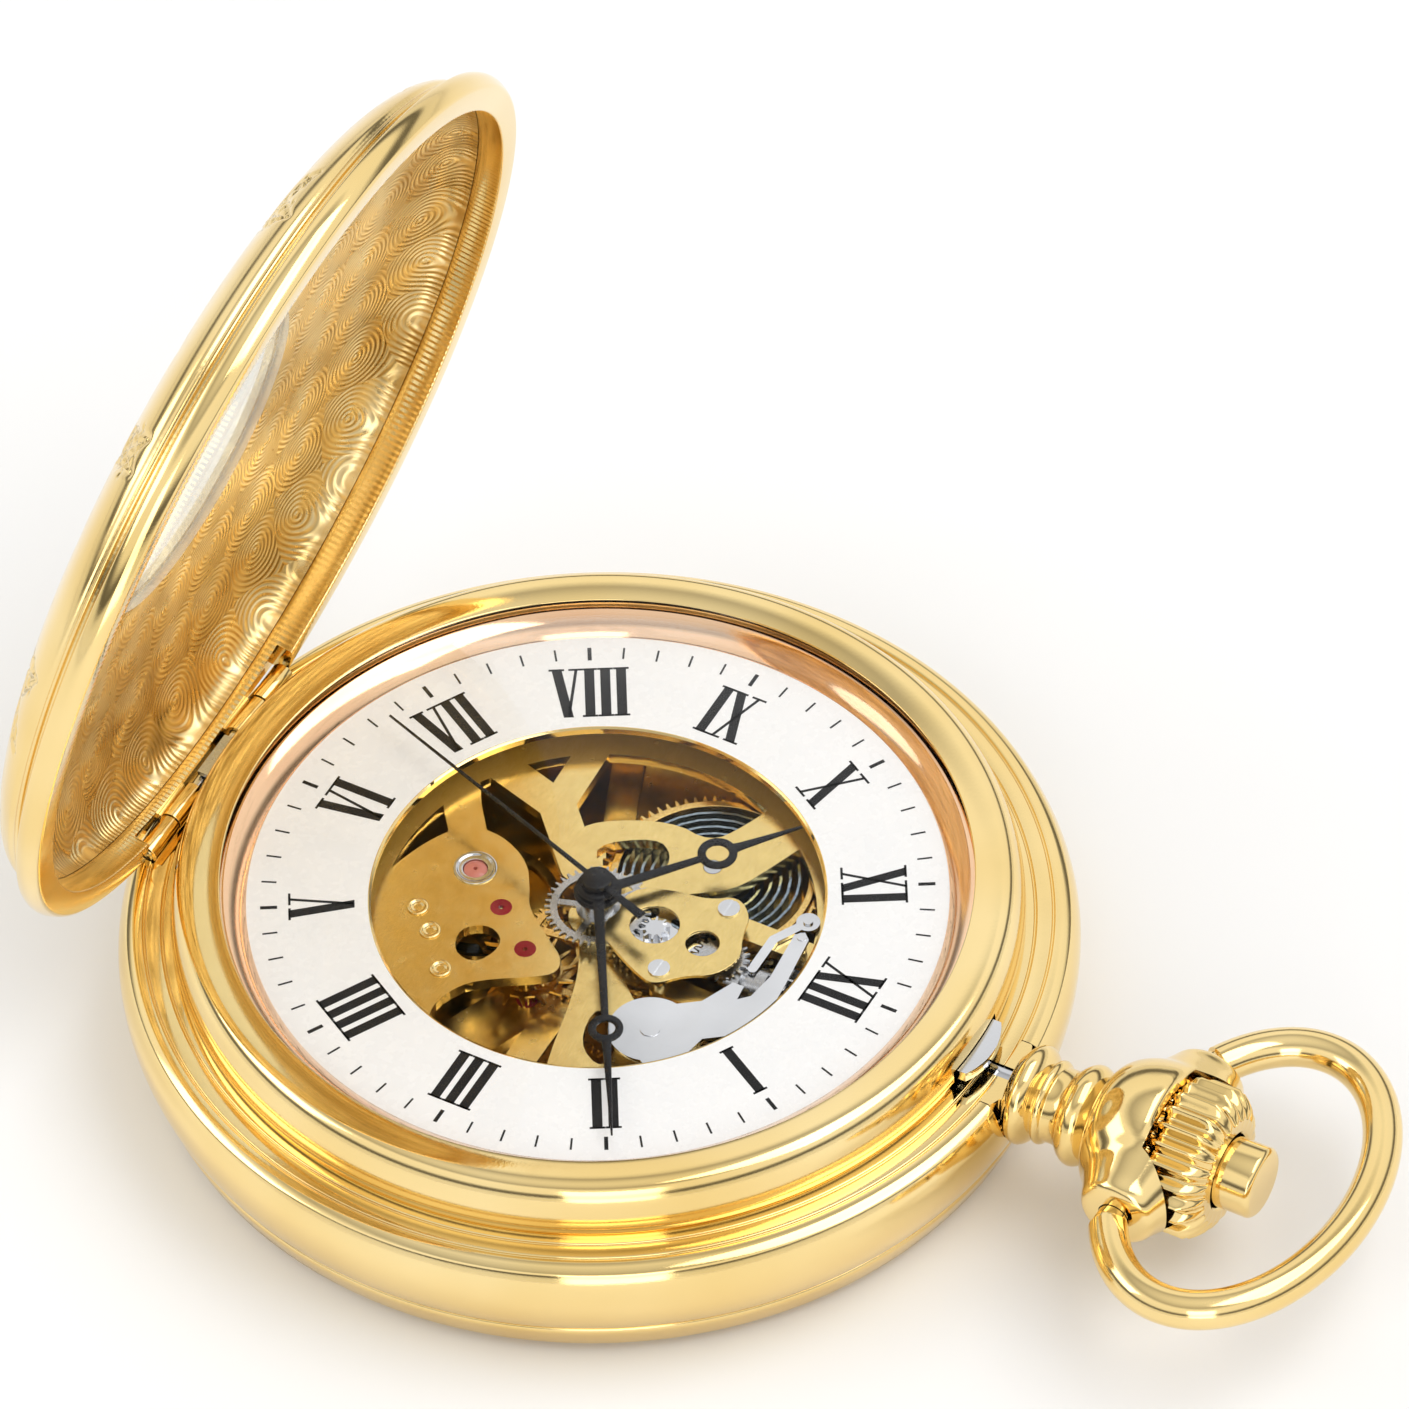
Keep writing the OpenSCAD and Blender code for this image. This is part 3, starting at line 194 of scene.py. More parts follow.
PLAN_SPAN = 50.0
GOLD_D, GOLD_L = (0.86, 0.62, 0.24), (0.95, 0.74, 0.36)
mat_gold = polished("gold_polish", GOLD_D, GOLD_L)
mat_engraved = polished("gold_engraved", (0.84, 0.6, 0.23), (0.95, 0.75, 0.38), (0.1, 0.2), 0.004, 0.001)
mat_rose = polished("rose_gold", (0.88, 0.52, 0.3), (0.96, 0.66, 0.42), (0.05, 0.1), 0.002)
mat_movement = grained("gold_movement", (0.8, 0.58, 0.2), (0.93, 0.72, 0.32), (0.16, 0.28),
                       (1, 16, 1), 0.0008, 4)
mat_wheel = grained("wheel_gold", (0.7, 0.44, 0.13), (0.92, 0.66, 0.26), (0.14, 0.24), (1, 1, 1), 0.002)
mat_steel = polished("steel_polish", (0.5, 0.51, 0.53), (0.78, 0.79, 0.81), (0.06, 0.16), 0.003)
mat_satin = grained("steel_satin", (0.4, 0.41, 0.43), (0.68, 0.69, 0.7), (0.2, 0.32), (1, 10, 1), 0.003)
mat_blued = polished("steel_blue", (0.03, 0.06, 0.2), (0.08, 0.14, 0.4), (0.1, 0.2), 0.002)
mat_coil = grained("spring_blue", (0.2, 0.25, 0.3), (0.42, 0.5, 0.56), (0.16, 0.28), (1, 1, 8), 0.003)
mat_perlage = perlage("gold_perlage", (0.6, 0.41, 0.15), (0.94, 0.74, 0.38), 3.9, 0.3)


def lacquer(name, dark, light, roughness, **sockets):
    s = Shader(name, light, metallic=0.0, **sockets)
    s.color(s.noise(0.4, 4), dark, light)
    s.rough(s.noise(1.5, 4), *roughness)
    s.bump(s.noise(2.5, 3), 0.0015)
    return s.mat


mat_enamel = lacquer("enamel_white", (0.9, 0.905, 0.905), (0.93, 0.93, 0.925), (0.24, 0.3), Coat_Weight=0.5)
mat_ink = lacquer("dial_ink", (0.004, 0.004, 0.005), (0.01, 0.01, 0.011), (0.4, 0.55), Specular_IOR_Level=0.3)
mat_hand = lacquer("hand_black", (0.004, 0.004, 0.005), (0.01, 0.01, 0.012), (0.2, 0.3),
                   Specular_IOR_Level=0.35)
mat_ruby = lacquer("ruby", (0.3, 0.01, 0.03), (0.55, 0.03, 0.06), (0.04, 0.1), Transmission_Weight=0.35)
mat_pink = lacquer("ruby_pale", (0.8, 0.22, 0.16), (0.9, 0.36, 0.28), (0.04, 0.1), Transmission_Weight=0.3)


def clear_glass(name, tint, base_alpha, gloss):
    """Thin glass: sight goes straight through, and the gloss grows toward grazing angles."""
    s = Shader(name, tint, metallic=gloss, roughness=0.02)
    s.rough(s.noise(0.7, 3), 0.01, 0.04)
    s.bump(s.noise(0.15, 2), 0.003)
    rim = s.node("ShaderNodeFresnel")
    rim.inputs["IOR"].default_value = 1.3
    s.link(s.math("MULTIPLY_ADD", rim.outputs["Fac"], 0.16, base_alpha), s.bsdf.inputs["Alpha"])
    return s.mat


mat_crystal = clear_glass("crystal_glass", (0.96, 0.98, 0.99), 0.0, 1.0)
mat_window = clear_glass("window_glass", (0.9, 0.93, 0.9), 0.3, 0.0)


# ---------- mesh helpers ----------

def finish_mesh(mesh):
    """Welds, points the normals outward and keeps hard corners hard."""
    bm = bmesh.new()
    bm.from_mesh(mesh)
    bmesh.ops.remove_doubles(bm, verts=bm.verts, dist=2e-7)
    bmesh.ops.dissolve_degenerate(bm, edges=bm.edges, dist=1e-7)
    bmesh.ops.recalc_face_normals(bm, faces=bm.faces)
    for f in bm.faces:
        f.smooth = True
    for edge in bm.edges:
        edge.smooth = len(edge.link_faces) == 2 and edge.calc_face_angle(0) < SHARP
    bm.to_mesh(mesh)
    bm.free()


def build(name, verts, faces, mats, body=None, slot=None, replaces=(), face_mats=None, plan=False):
    mats = mats if isinstance(mats, (list, tuple)) else [mats]
    mesh = bpy.data.meshes.new(name)
    mesh.from_pydata([Vector(v) * MM for v in verts], [], faces)
    for m in mats:
        mesh.materials.append(m)
    if face_mats is not None:
        mesh.polygons.foreach_set("material_index", face_mats)
    if plan:
        uv = mesh.uv_layers.new(name="plan")
        at = np.array(verts)[:, :2] / PLAN_SPAN + 0.5
        corners = np.zeros(len(mesh.loops), np.int32)
        mesh.loops.foreach_get("vertex_index", corners)
        uv.data.foreach_set("uv", at[corners].ravel())
    finish_mesh(mesh)
    obj = bpy.data.objects.new(name, mesh)
    bpy.context.scene.collection.objects.link(obj)
    if body:
        place(obj, body, replaces)
    return obj


def place(obj, body, replaces=()):
    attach(obj, body)
    if replaces:
        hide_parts(*replaces)


def fillet(points, radius, steps=4):
    """Rounds the corners of a closed outline."""
    out = []
    n = len(points)
    for i in range(n):
        p, q, r = (Vector(points[j % n]) for j in (i - 1, i, i + 1))
        a, b = p - q, r - q
        if a.length < 1e-9 or b.length < 1e-9 or a.angle(-b) < math.radians(24) or q.x < 1e-6:
            out.append(tuple(q))
            continue
        cut = min(radius, 0.45 * a.length, 0.45 * b.length)
        s, t = q + a.normalized() * cut, q + b.normalized() * cut
        for k in range(steps + 1):
            u = k / steps
            out.append(tuple(s * (1 - u) ** 2 + q * 2 * u * (1 - u) + t * u ** 2))
    return out


def lathe(profile, segments=360, vary=None):
    """Turns a closed (radius, height) outline about Z. vary(r, z, angle) may change the radius."""
    verts, faces = [], []
    m = len(profile)
    for k in range(segments):
        a = 2 * math.pi * k / segments
        for r, z in profile:
            rr = vary(r, z, a) if vary else r
            verts.append((rr * math.sin(a), rr * math.cos(a), z))
    for k in range(segments):
        k2 = (k + 1) % segments
        for i in range(m):
            j = (i + 1) % m
            faces.append((k * m + i, k * m + j, k2 * m + j, k2 * m + i))
    return verts, faces


def along_y(verts, z=STEM_Z):
    """A shape turned about Z is laid along Y at the stem's height."""
    return [(x, w, z - y) for x, y, w in verts]


def along_x(verts, y, z):
    return [(w, y + a, z + b) for a, b, w in verts]


def box_mesh(x0, x1, y0, y1, z0, z1):
    v = [(x, y, z) for x in (x0, x1) for y in (y0, y1) for z in (z0, z1)]
    f = [(0, 1, 3, 2), (4, 6, 7, 5), (0, 4, 5, 1), (2, 3, 7, 6), (0, 2, 6, 4), (1, 5, 7, 3)]
    return v, f


def cut(obj, *cutters):
    """Subtracts closed shapes from obj for good, and removes the cutters."""
    for verts, faces in cutters:
        tool = build("cutter", verts, faces, [])
        mod = obj.modifiers.new("cut", "BOOLEAN")
        mod.operation, mod.object, mod.solver = "DIFFERENCE", tool, "EXACT"
        bake(obj)
        bpy.data.objects.remove(tool)
    finish_mesh(obj.data)


def bake(obj):
    """Replaces obj's mesh by what its modifiers make of it."""
    bpy.context.view_layer.update()
    graph = bpy.context.evaluated_depsgraph_get()
    mesh = bpy.data.meshes.new_from_object(obj.evaluated_get(graph))
    obj.modifiers.clear()
    obj.data = mesh


def outline_mesh(name, loops, z0, z1, bevel, mat, body=None, replaces=(), turn=0.0):
    """A flat part from closed outlines, bevelled all round. turn is a clock angle."""
    curve = bpy.data.curves.new(name, "CURVE")
    curve.dimensions = "2D"
    curve.fill_mode = "BOTH"
    for loop in loops:
        spline = curve.splines.new("POLY")
        spline.points.add(len(loop) - 1)
        for p, (x, y) in zip(spline.points, loop):
            p.co = (x * MM, y * MM, 0, 1)
        spline.use_cyclic_u = True
    curve.bevel_depth = bevel * MM
    curve.bevel_resolution = 1
    curve.offset = -bevel * MM
    curve.extrude = max((z1 - z0) / 2 - bevel, 0) * MM
    holder = bpy.data.objects.new(name, curve)
    bpy.context.scene.collection.objects.link(holder)
    bpy.context.view_layer.update()
    graph = bpy.context.evaluated_depsgraph_get()
    mesh = bpy.data.meshes.new_from_object(holder.evaluated_get(graph))
    bpy.data.objects.remove(holder)
    move = Matrix.Translation((0, 0, (z0 + z1) / 2 * MM)) @ Matrix.Rotation(-math.radians(turn), 4, "Z")
    mesh.transform(move)
    mesh.materials.clear()
    mesh.materials.append(mat)
    finish_mesh(mesh)
    obj = bpy.data.objects.new(name, mesh)
    bpy.context.scene.collection.objects.link(obj)
    if body:
        place(obj, body, replaces)
    return obj


def circle(r, x=0.0, y=0.0, n=48):
    return [(x + r * math.cos(2 * math.pi * i / n), y + r * math.sin(2 * math.pi * i / n)) for i in range(n)]


def open_lid(obj):
    """Turns what was built on the closed lid to where the lid stands."""
    pivot = Matrix.Translation((0, HINGE_Y * MM, HINGE_Z * MM))
    obj.data.transform(pivot @ Matrix.Rotation(math.radians(LID_OPEN), 4, "X") @ pivot.inverted())


# ---------- case ----------

def band_r(z):
    band_z = DIAL_Z - 3.1
    if z < band_z:
        return 24 - 0.7 * ((band_z - z) / (band_z - 2.5)) ** 2
    return 24 - 0.55 * ((z - band_z) / 1.6) ** 2


def groove(r, z, width=0.16, depth=0.1):
    return [(r + width / 2, z), (r + width / 5, z - depth), (r - width / 5, z - depth), (r - width / 2, z)]


band = [(band_r(z), z) for z in np.linspace(2.55, LEDGE_Z - 0.25, 30)]
case_profile = (
    [(20.05, LEDGE_Z), (20.05, LEDGE_Z - 0.8), (21.3, LEDGE_Z - 1), (21.3, 2.3), (23.0, 2.3)]
    + band + [(23.25, LEDGE_Z - 0.05), (23.1, LEDGE_Z)]
    + groove(22.65, LEDGE_Z) + groove(21.75, LEDGE_Z)
)
stem_hole = lathe([(0, 18), (0.98, 18), (0.98, 26), (0, 26)], 32)
pendant_bed = lathe([(0, 22.6), (2.45, 22.6), (2.45, 26), (0, 26)], 48)
case_body = build("case_band", *lathe(fillet(case_profile, 0.14)), mat_gold)
cut(
    case_body,
    box_mesh(-7.1, 7.1, -22.75, -20.95, LEDGE_Z - 0.65, LEDGE_Z + 1),
    box_mesh(-1.8, 1.8, -21.75, -19, LEDGE_Z - 1.8, LEDGE_Z + 1),
    box_mesh(-2.2, 2.2, 19, 21.2, LEDGE_Z - 1.8, LEDGE_Z + 1),
    (along_y(stem_hole[0]), stem_hole[1]),
    (along_y(pendant_bed[0]), pendant_bed[1]),
)
place(case_body, "case", ["case_body"])

back_profile = [(0, 0), (16, 0)]
back_profile += [(16 + 6.75 * math.sin(math.radians(9 * i)), 0.8 * (1 - math.cos(math.radians(9 * i))))
                 for i in range(1, 11)]
back_profile += [(23.2, 2.05), (23.12, 2.28), (21.25, 2.28), (21.25, 3.2), (20.7, 3.2), (20.7, 1.9),
                 (20, 1.2), (16, 0.75), (0, 0.7)]
build("back_lid", *lathe(fillet(back_profile, 0.12)), mat_engraved, "case", "gold_engraved", ["back_cover"])

shoulder = [(20 + 1.3 * math.cos(a) ** 0.8, LEDGE_Z + 0.6 + 2.4 * math.sin(a))
            for a in np.linspace(0, math.pi / 2 - 1e-6, 24)]
bezel_profile = (
    [(19.5, LEDGE_Z - 0.7), (20, LEDGE_Z - 0.7), (20, LEDGE_Z), (21.1, LEDGE_Z), (21.2, LEDGE_Z + 0.25)]
    + shoulder
    + [(19.35, DIAL_Z + 1.6), (18.8, DIAL_Z + 1.46), (18.75, DIAL_Z + 1.41), (19.12, DIAL_Z + 1.4),
       (19.12, DIAL_Z + 0.75), (19.5, DIAL_Z + 0.75)]
)
bezel = build("bezel_ring", *lathe(fillet(bezel_profile, 0.1)), mat_gold)
cut(
    bezel,
    box_mesh(-2.2, 2.2, 19, 22, LEDGE_Z - 1, DIAL_Z - 0.1),
    box_mesh(-1.8, 1.8, -22, -19, LEDGE_Z - 1, DIAL_Z - 0.1),
)
place(bezel, "case", ["bezel"])

CRYSTAL_EDGE_Z = DIAL_Z + 0.95
radii = np.linspace(0, 1, 28)
crystal_profile = (
    [(18.7 * t, DIAL_Z + 2.8 - 1.4 * t * t) for t in radii]
    + [(19.08, CRYSTAL_EDGE_Z + 0.42), (19.08, CRYSTAL_EDGE_Z)]
    + [(18.5 * t, DIAL_Z + 2.3 - 1.37 * t * t) for t in radii[::-1]]
)
build("crystal_dome", *lathe(crystal_profile, 180), mat_crystal, "case", "crystal_glass", ["crystal"])

rehaut_profile = [
    (17.5, DIAL_Z), (17.55, DIAL_Z + 0.1), (18.55, CRYSTAL_EDGE_Z - 0.04), (18.7, CRYSTAL_EDGE_Z - 0.02),
    (19.05, CRYSTAL_EDGE_Z - 0.02), (19.05, DIAL_Z),
]
build("rehaut_cone", *lathe(rehaut_profile), mat_rose, "case", "rose_gold", ["rehaut_ring"])


# ---------- dial ----------

DIAL_R, DIAL_THICK, RIM_W = 18.6, 0.4, 0.14
DIAL_IN_R = APERTURE_R + RIM_W
DIAL_BACK_Z = DIAL_Z - DIAL_THICK
dial_profile = [(DIAL_IN_R, DIAL_BACK_Z), (DIAL_R, DIAL_BACK_Z), (DIAL_R, DIAL_Z), (DIAL_IN_R, DIAL_Z)]
build("dial_disc", *lathe(dial_profile), mat_enamel, "case", "enamel_white", ["dial"])
dial_rim = [(APERTURE_R, DIAL_BACK_Z), (DIAL_IN_R, DIAL_BACK_Z), (DIAL_IN_R, DIAL_Z + 0.004),
            (APERTURE_R + 0.1, DIAL_Z + 0.012), (APERTURE_R, DIAL_Z - 0.06)]
build("dial_rim", *lathe(dial_rim), mat_gold, "case", "gold_polish")

NUMERAL_R0, NUMERAL_R1 = 12.1, 15.4
THICK, THIN, SERIF, SERIF_H = 0.5, 0.15, 0.14, 0.12
GAP = {"I": 0.8, "V": 1.5, "X": 1.6}
NUMERALS = {12: "XII", 1: "I", 2: "II", 3: "III", 4: "IIII", 5: "V", 6: "VI", 7: "VII", 8: "VIII", 9: "IX",
            10: "X", 11: "XI"}


def stroke(x0, x1, w, y0, y1):
    return [(x0 - w / 2, y0), (x0 + w / 2, y0), (x1 + w / 2, y1), (x1 - w / 2, y1)]


def letter(kind, x, y0, y1):
    """Outlines of one Roman letter, its middle at x."""
    head = y1 - SERIF_H
    if kind == "I":
        shapes = [stroke(x, x, THICK, y0, y1)]
        ends = [(x, y0), (x, head)]
    elif kind == "V":
        shapes = [stroke(x + 0.06, x - 0.5, THICK, y0, y1), stroke(x + 0.06, x + 0.5, THIN, y0, y1)]
        ends = [(x - 0.5, head), (x + 0.5, head)]
    else:
        shapes = [stroke(x + 0.52, x - 0.52, THICK, y0, y1), stroke(x - 0.5, x + 0.5, THIN, y0, y1)]
        ends = [(x - 0.5, y0), (x + 0.52, y0), (x - 0.52, head), (x + 0.5, head)]
    for ex, ey in ends:
        half = THICK / 2 + SERIF
        left, right, top = ex - half, ex + half, ey + SERIF_H
        shapes.append([(left, ey), (right, ey), (right, top), (left, top)])
    return shapes


def ink(name, quads):
    """Printed marks: thin raised films on the dial's face."""
    low, high = DIAL_Z + 0.001, DIAL_Z + 0.012
    verts, faces = [], []
    for quad in quads:
        k = len(verts)
        n = len(quad)
        verts += [(x, y, low) for x, y in quad] + [(x, y, high) for x, y in quad]
        faces += [tuple(range(k, k + n))[::-1], tuple(range(k + n, k + 2 * n))]
        faces += [(k + i, k + (i + 1) % n, k + n + (i + 1) % n, k + n + i) for i in range(n)]
    mesh = bpy.data.meshes.new(name)
    mesh.from_pydata([Vector(v) * MM for v in verts], [], faces)
    mesh.materials.append(mat_ink)
    bm = bmesh.new()
    bm.from_mesh(mesh)
    bmesh.ops.recalc_face_normals(bm, faces=bm.faces)
    bm.to_mesh(mesh)
    bm.free()
    obj = bpy.data.objects.new(name, mesh)
    bpy.context.scene.collection.objects.link(obj)
    place(obj, "case")


def turned(points, hours):
    a = -math.radians(30 * hours)
    c, s = math.cos(a), math.sin(a)
    return [(x * c - y * s, x * s + y * c) for x, y in points]


quads = []
for hour, text in NUMERALS.items():
    widths = [GAP[c] for c in text]
    x = -sum(widths) / 2
    for c, w in zip(text, widths):
        quads += [turned(q, hour) for q in letter(c, x + w / 2, NUMERAL_R0, NUMERAL_R1)]
        x += w
ink("dial_numerals", quads)
TICK_R = 16.8
HOUR_TICK, MINUTE_TICK = (0.2, 15.95), (0.1, 16.05)  # width, inner radius
ticks = []
for minute in range(60):
    w, r0 = HOUR_TICK if minute % 5 == 0 else MINUTE_TICK
    ticks.append(turned([(-w / 2, r0), (w / 2, r0), (w / 2, TICK_R), (-w / 2, TICK_R)], minute / 5))
ink("dial_ticks", ticks)


# ---------- hands ----------

def ring_hand(length, hub, ring_y, ring_out, ring_in, w0, w1):
    """Outline of a hand with an open ring, and the ring's hole, pointing to twelve."""
    def arc(cx, cy, r, a0, a1, n):
        return [(cx + r * math.sin(math.radians(a)), cy + r * math.cos(math.radians(a)))
                for a in np.linspace(a0, a1, n)]
    hub_a = math.degrees(math.asin(w0 / 2 / hub))
    in_a = math.degrees(math.asin(w1 / 2 / ring_out))
    out_w = w1 * 1.5
    out_a = math.degrees(math.asin(out_w / 2 / ring_out))
    right = [(w0 / 2, hub * math.cos(math.radians(hub_a)))]
    right += arc(0, ring_y, ring_out, 180 - in_a, out_a, 20)
    right += [(out_w / 2 * 0.8, ring_y + ring_out + 0.3), (0.05, length)]
    outer = right + [(-x, y) for x, y in right[::-1]]
    outer += arc(0, 0, hub, -hub_a, -360 + hub_a, 40)
    return [outer, circle(ring_in, 0, ring_y, 32)]


HOUR_DIR, MINUTE_DIR, SECOND_DIR = 309.6, 59.0, 199.0
hour_outline = ring_hand(11, 1.2, 6.43, 1, 0.58, 0.55, 0.36)
minute_outline = ring_hand(16.5, 1.05, 9.5, 0.88, 0.48, 0.55, 0.36)
outline_mesh("hour_hand_blade", hour_outline, DIAL_Z + 0.25, DIAL_Z + 0.41, 0.035, mat_hand,
             "hour_hand", ["hour_hand"], HOUR_DIR)
outline_mesh("minute_hand_blade", minute_outline, DIAL_Z + 0.68, DIAL_Z + 0.83, 0.035, mat_hand,
             "minute_hand", ["minute_hand"], MINUTE_DIR)
tail = [(-0.25, -3.3), (0.25, -3.3), (0.13, 0.6), (0.055, 15.4), (-0.055, 15.4), (-0.13, 0.6)]
outline_mesh("seconds_hand_blade", [tail], DIAL_Z + 1.1, DIAL_Z + 1.2, 0.02, mat_hand,
             "seconds_hand", ["seconds_hand"], SECOND_DIR)
# name, bore, radius, and the heights of both faces over the dial
HUBS = (
    ("hour_hub", 0.86, 1.12, 0.3, 0.49, "hour_hand"),
    ("minute_hub", 0.56, 0.95, 0.58, 0.92, "minute_hand"),
    ("seconds_hub", 0, 0.75, 0.98, 1.4, "seconds_hand"),
)
for name, bore, r, z0, z1, body in HUBS:
    z0, z1 = DIAL_Z + z0, DIAL_Z + z1
    prof = fillet([(bore, z0), (r, z0), (r, z1 - 0.03), (r - 0.12, z1), (bore, z1)], 0.05)
    build(name, *lathe(prof, 72), mat_hand, body, "hand_black")


# ---------- lid ----------

def trimmed(verts):
    """The lid ends in a flat chord by the hinge."""
    return [(x, max(y, CHORD_Y), z) for x, y, z in verts]


RIBS, RIB_DEPTH = 420, 0.028


def rim_rib(r, z, a):
    """Fine upright ribs on the inner wall."""
    if r < 21.8 and z < LID_SEAM_Z - 0.2:
        return r + RIB_DEPTH * math.cos(RIBS * a)
    return r


rim_profile = [(21.75, LEDGE_Z + 0.07), (23.05, LEDGE_Z + 0.07)]
rim_profile += [(23.2 + 0.25 * math.sin(math.radians(150 * t)) - 0.02, LEDGE_Z + 0.15 + 1.12 * t)
                for t in np.linspace(0, 1, 14)]
rim_profile += [(22.9, LID_SEAM_Z - 0.12), (22.75, LID_SEAM_Z - 0.3), (22.6, LID_SEAM_Z - 0.12),
                (22.42, LID_SEAM_Z - 0.02), (21.9, LID_SEAM_Z), (21.75, LID_SEAM_Z - 0.3)]
verts, faces = lathe(fillet(rim_profile, 0.09, 3), 4 * RIBS, rim_rib)
lid_rim = build("lid_band", trimmed(verts), faces, mat_gold)
cut(
    lid_rim,
    box_mesh(-7.3, 7.3, -30, -20.5, 0, DIAL_Z - 0.45),
    box_mesh(-2.6, 2.6, 20, 22.3, LEDGE_Z + 0.55, LID_SEAM_Z - 0.25),
)
open_lid(lid_rim)
place(lid_rim, "lid", ["lid_rim"])


def dome_z(r, edge_r, rise):
    return LID_SEAM_Z + rise * (1 - min(r / edge_r, 1) ** 2.6) ** (1 / 2.6)


def spiral(x, y, heading, size, turns, n=40):
    """A scroll that winds inward from (x, y)."""
    pts = []
    for i in range(n):
        t = i / (n - 1)
        pts.append((x, y))
        step = size * (1 - 0.75 * t) / n * 3
        x += step * math.cos(heading)
        y += step * math.sin(heading)
        heading += turns * 2 * math.pi / n * (0.5 + t)
    return pts


def leaf(x, y, heading, length, width, n=22):
    """A pointed leaf with a mid vein and short side veins."""
    lines = []
    c, s = math.cos(heading), math.sin(heading)
    def put(u, v):
        return (x + u * c - v * s, y + u * s + v * c)
    for side in (-1, 1):
        lines.append([put(length * t, side * width * math.sin(math.pi * t) * (1 - 0.35 * t))
                      for t in np.linspace(0, 1, n)])
    lines.append([put(length * t, 0.06 * width * math.sin(7 * t)) for t in np.linspace(0, 0.92, n)])
    for t in (0.25, 0.45, 0.65):
        for side in (-1, 1):
            lines.append([put(length * (t + 0.16 * u), side * width * 0.75 * math.sin(math.pi * t) * u)
                          for u in np.linspace(0, 1, 8)])
    return lines


engraving = []
SPRAYS = 9
# place along the stem, turn away from it, length and width
STEM_LEAVES = ((6, -0.9, 3.4, 0.85), (16, 0.7, 4.1, 1.05), (26, -0.5, 3.7, 0.95), (36, 0.5, 3.2, 0.8))
for k in range(SPRAYS):
    a = 2 * math.pi * k / SPRAYS
    flip = 1 if k % 2 else -1
    cx, cy = 10.2 * math.sin(a), 10.2 * math.cos(a)
    out = math.pi / 2 - a
    stem = spiral(cx, cy, out + flip * 0.9, 4.2, -flip * 0.55)
    engraving.append(stem)
    engraving.append(spiral(*stem[14], out - flip * 0.5, 2.4, flip * 0.9))
    for idx, turn, length, width in STEM_LEAVES:
        px, py = stem[idx]
        engraving += leaf(px, py, out + flip * turn + rng.uniform(-0.2, 0.2), length, width)
    mid = a + math.pi / SPRAYS
    mx, my = 14.5 * math.sin(mid), 14.5 * math.cos(mid)
    engraving += leaf(mx, my, math.pi / 2 - mid + 0.3 * flip, 4.6, 1.15)
    engraving += leaf(mx, my, math.pi / 2 - mid - 1.1 * flip, 3.6, 0.9)
    for step, turn in ((-0.3, 0.5), (0.35, -0.6)):
        a2 = mid + step * flip
        px, py = 18.6 * math.sin(a2), 18.6 * math.cos(a2)
        engraving += leaf(px, py, math.pi / 2 - a2 + turn * flip, 4.4, 1.2)
BORDERS = (9.1, 9.5, 23.3, 23.7)
for r in BORDERS:
    engraving.append([(r * math.sin(t), r * math.cos(t)) for t in np.linspace(0, 2 * math.pi, 900)])

marks = []
for line in engraving:
    for (x0, y0), (x1, y1) in zip(line, line[1:]):
        n = max(1, int(math.hypot(x1 - x0, y1 - y0) / 0.06))
        marks += [(x0 + (x1 - x0) * i / n, y0 + (y1 - y0) * i / n) for i in range(n)]
marks = [m for m in marks if BORDERS[0] - 0.05 < math.hypot(*m) < BORDERS[-1] + 0.05]
tree = kdtree.KDTree(len(marks))
for i, (x, y) in enumerate(marks):
    tree.insert((x, y, 0), i)
tree.balance()
CUT_DEPTH, CUT_WIDTH = 0.13, 0.15

OUT_R, IN_R, SEAT_R = 22.4, 21.9, WINDOW_R + 0.5
OUT_RISE = 4.0
IN_RISE = OUT_RISE - 0.55
outer = [WINDOW_R + (OUT_R - WINDOW_R) * math.sin(math.pi / 2 * t) for t in np.linspace(0, 1, 170)]
inner = [SEAT_R + (IN_R - SEAT_R) * math.sin(math.pi / 2 * t) for t in np.linspace(1, 0, 50)]
profile = [(r, dome_z(r, OUT_R, OUT_RISE)) for r in outer]
n_out = len(profile)
# distance along the dome from the axis, and the outline's own direction, at each outline point
walked = WINDOW_R + np.concatenate([[0], np.cumsum(np.hypot(*np.diff(np.array(profile), axis=0).T))])
slope = np.gradient(np.array(profile), axis=0)
slope /= np.hypot(*slope.T)[:, None]
profile += [(r, dome_z(r, IN_R, IN_RISE)) for r in inner]
profile += [(SEAT_R, LID_SEAM_Z + OUT_RISE - 0.5), (WINDOW_R, LID_SEAM_Z + OUT_RISE - 0.5)]
verts, faces = lathe(profile, 1080)
m = len(profile)
for i, (x, y, z) in enumerate(verts):
    j = i % m
    if j < n_out and 8.9 < walked[j] < 24:
        r = math.hypot(x, y)
        d = tree.find((x / r * walked[j], y / r * walked[j], 0))[2]
        deep = CUT_DEPTH * math.exp(-(d / CUT_WIDTH) ** 2)
        fade = 1 + deep * slope[j][1] / r
        verts[i] = (x * fade, y * fade, z - deep * slope[j][0])
face_mats = [0 if i % m < n_out else 1 for i in range(len(faces))]
open_lid(build("lid_dome", trimmed(verts), faces, [mat_engraved, mat_perlage],
               "lid", "gold_engraved", ["lid_cover"], face_mats, plan=True))
wz = LID_SEAM_Z + OUT_RISE
window_profile = fillet([(0, wz - 0.95), (SEAT_R, wz - 0.95), (SEAT_R, wz - 0.5), (0, wz - 0.5)], 0.08)
open_lid(build("window_disc", *lathe(window_profile, 180), mat_window,
               "lid", "crystal_glass", ["lid_window"]))


# ---------- pendant, crown, button and bow ----------

def bead(y0, y1, r0, r1):
    return [(r0 + (r1 - r0) * math.sin(math.pi * i / 10) ** 0.8, y0 + (y1 - y0) * i / 10) for i in range(11)]


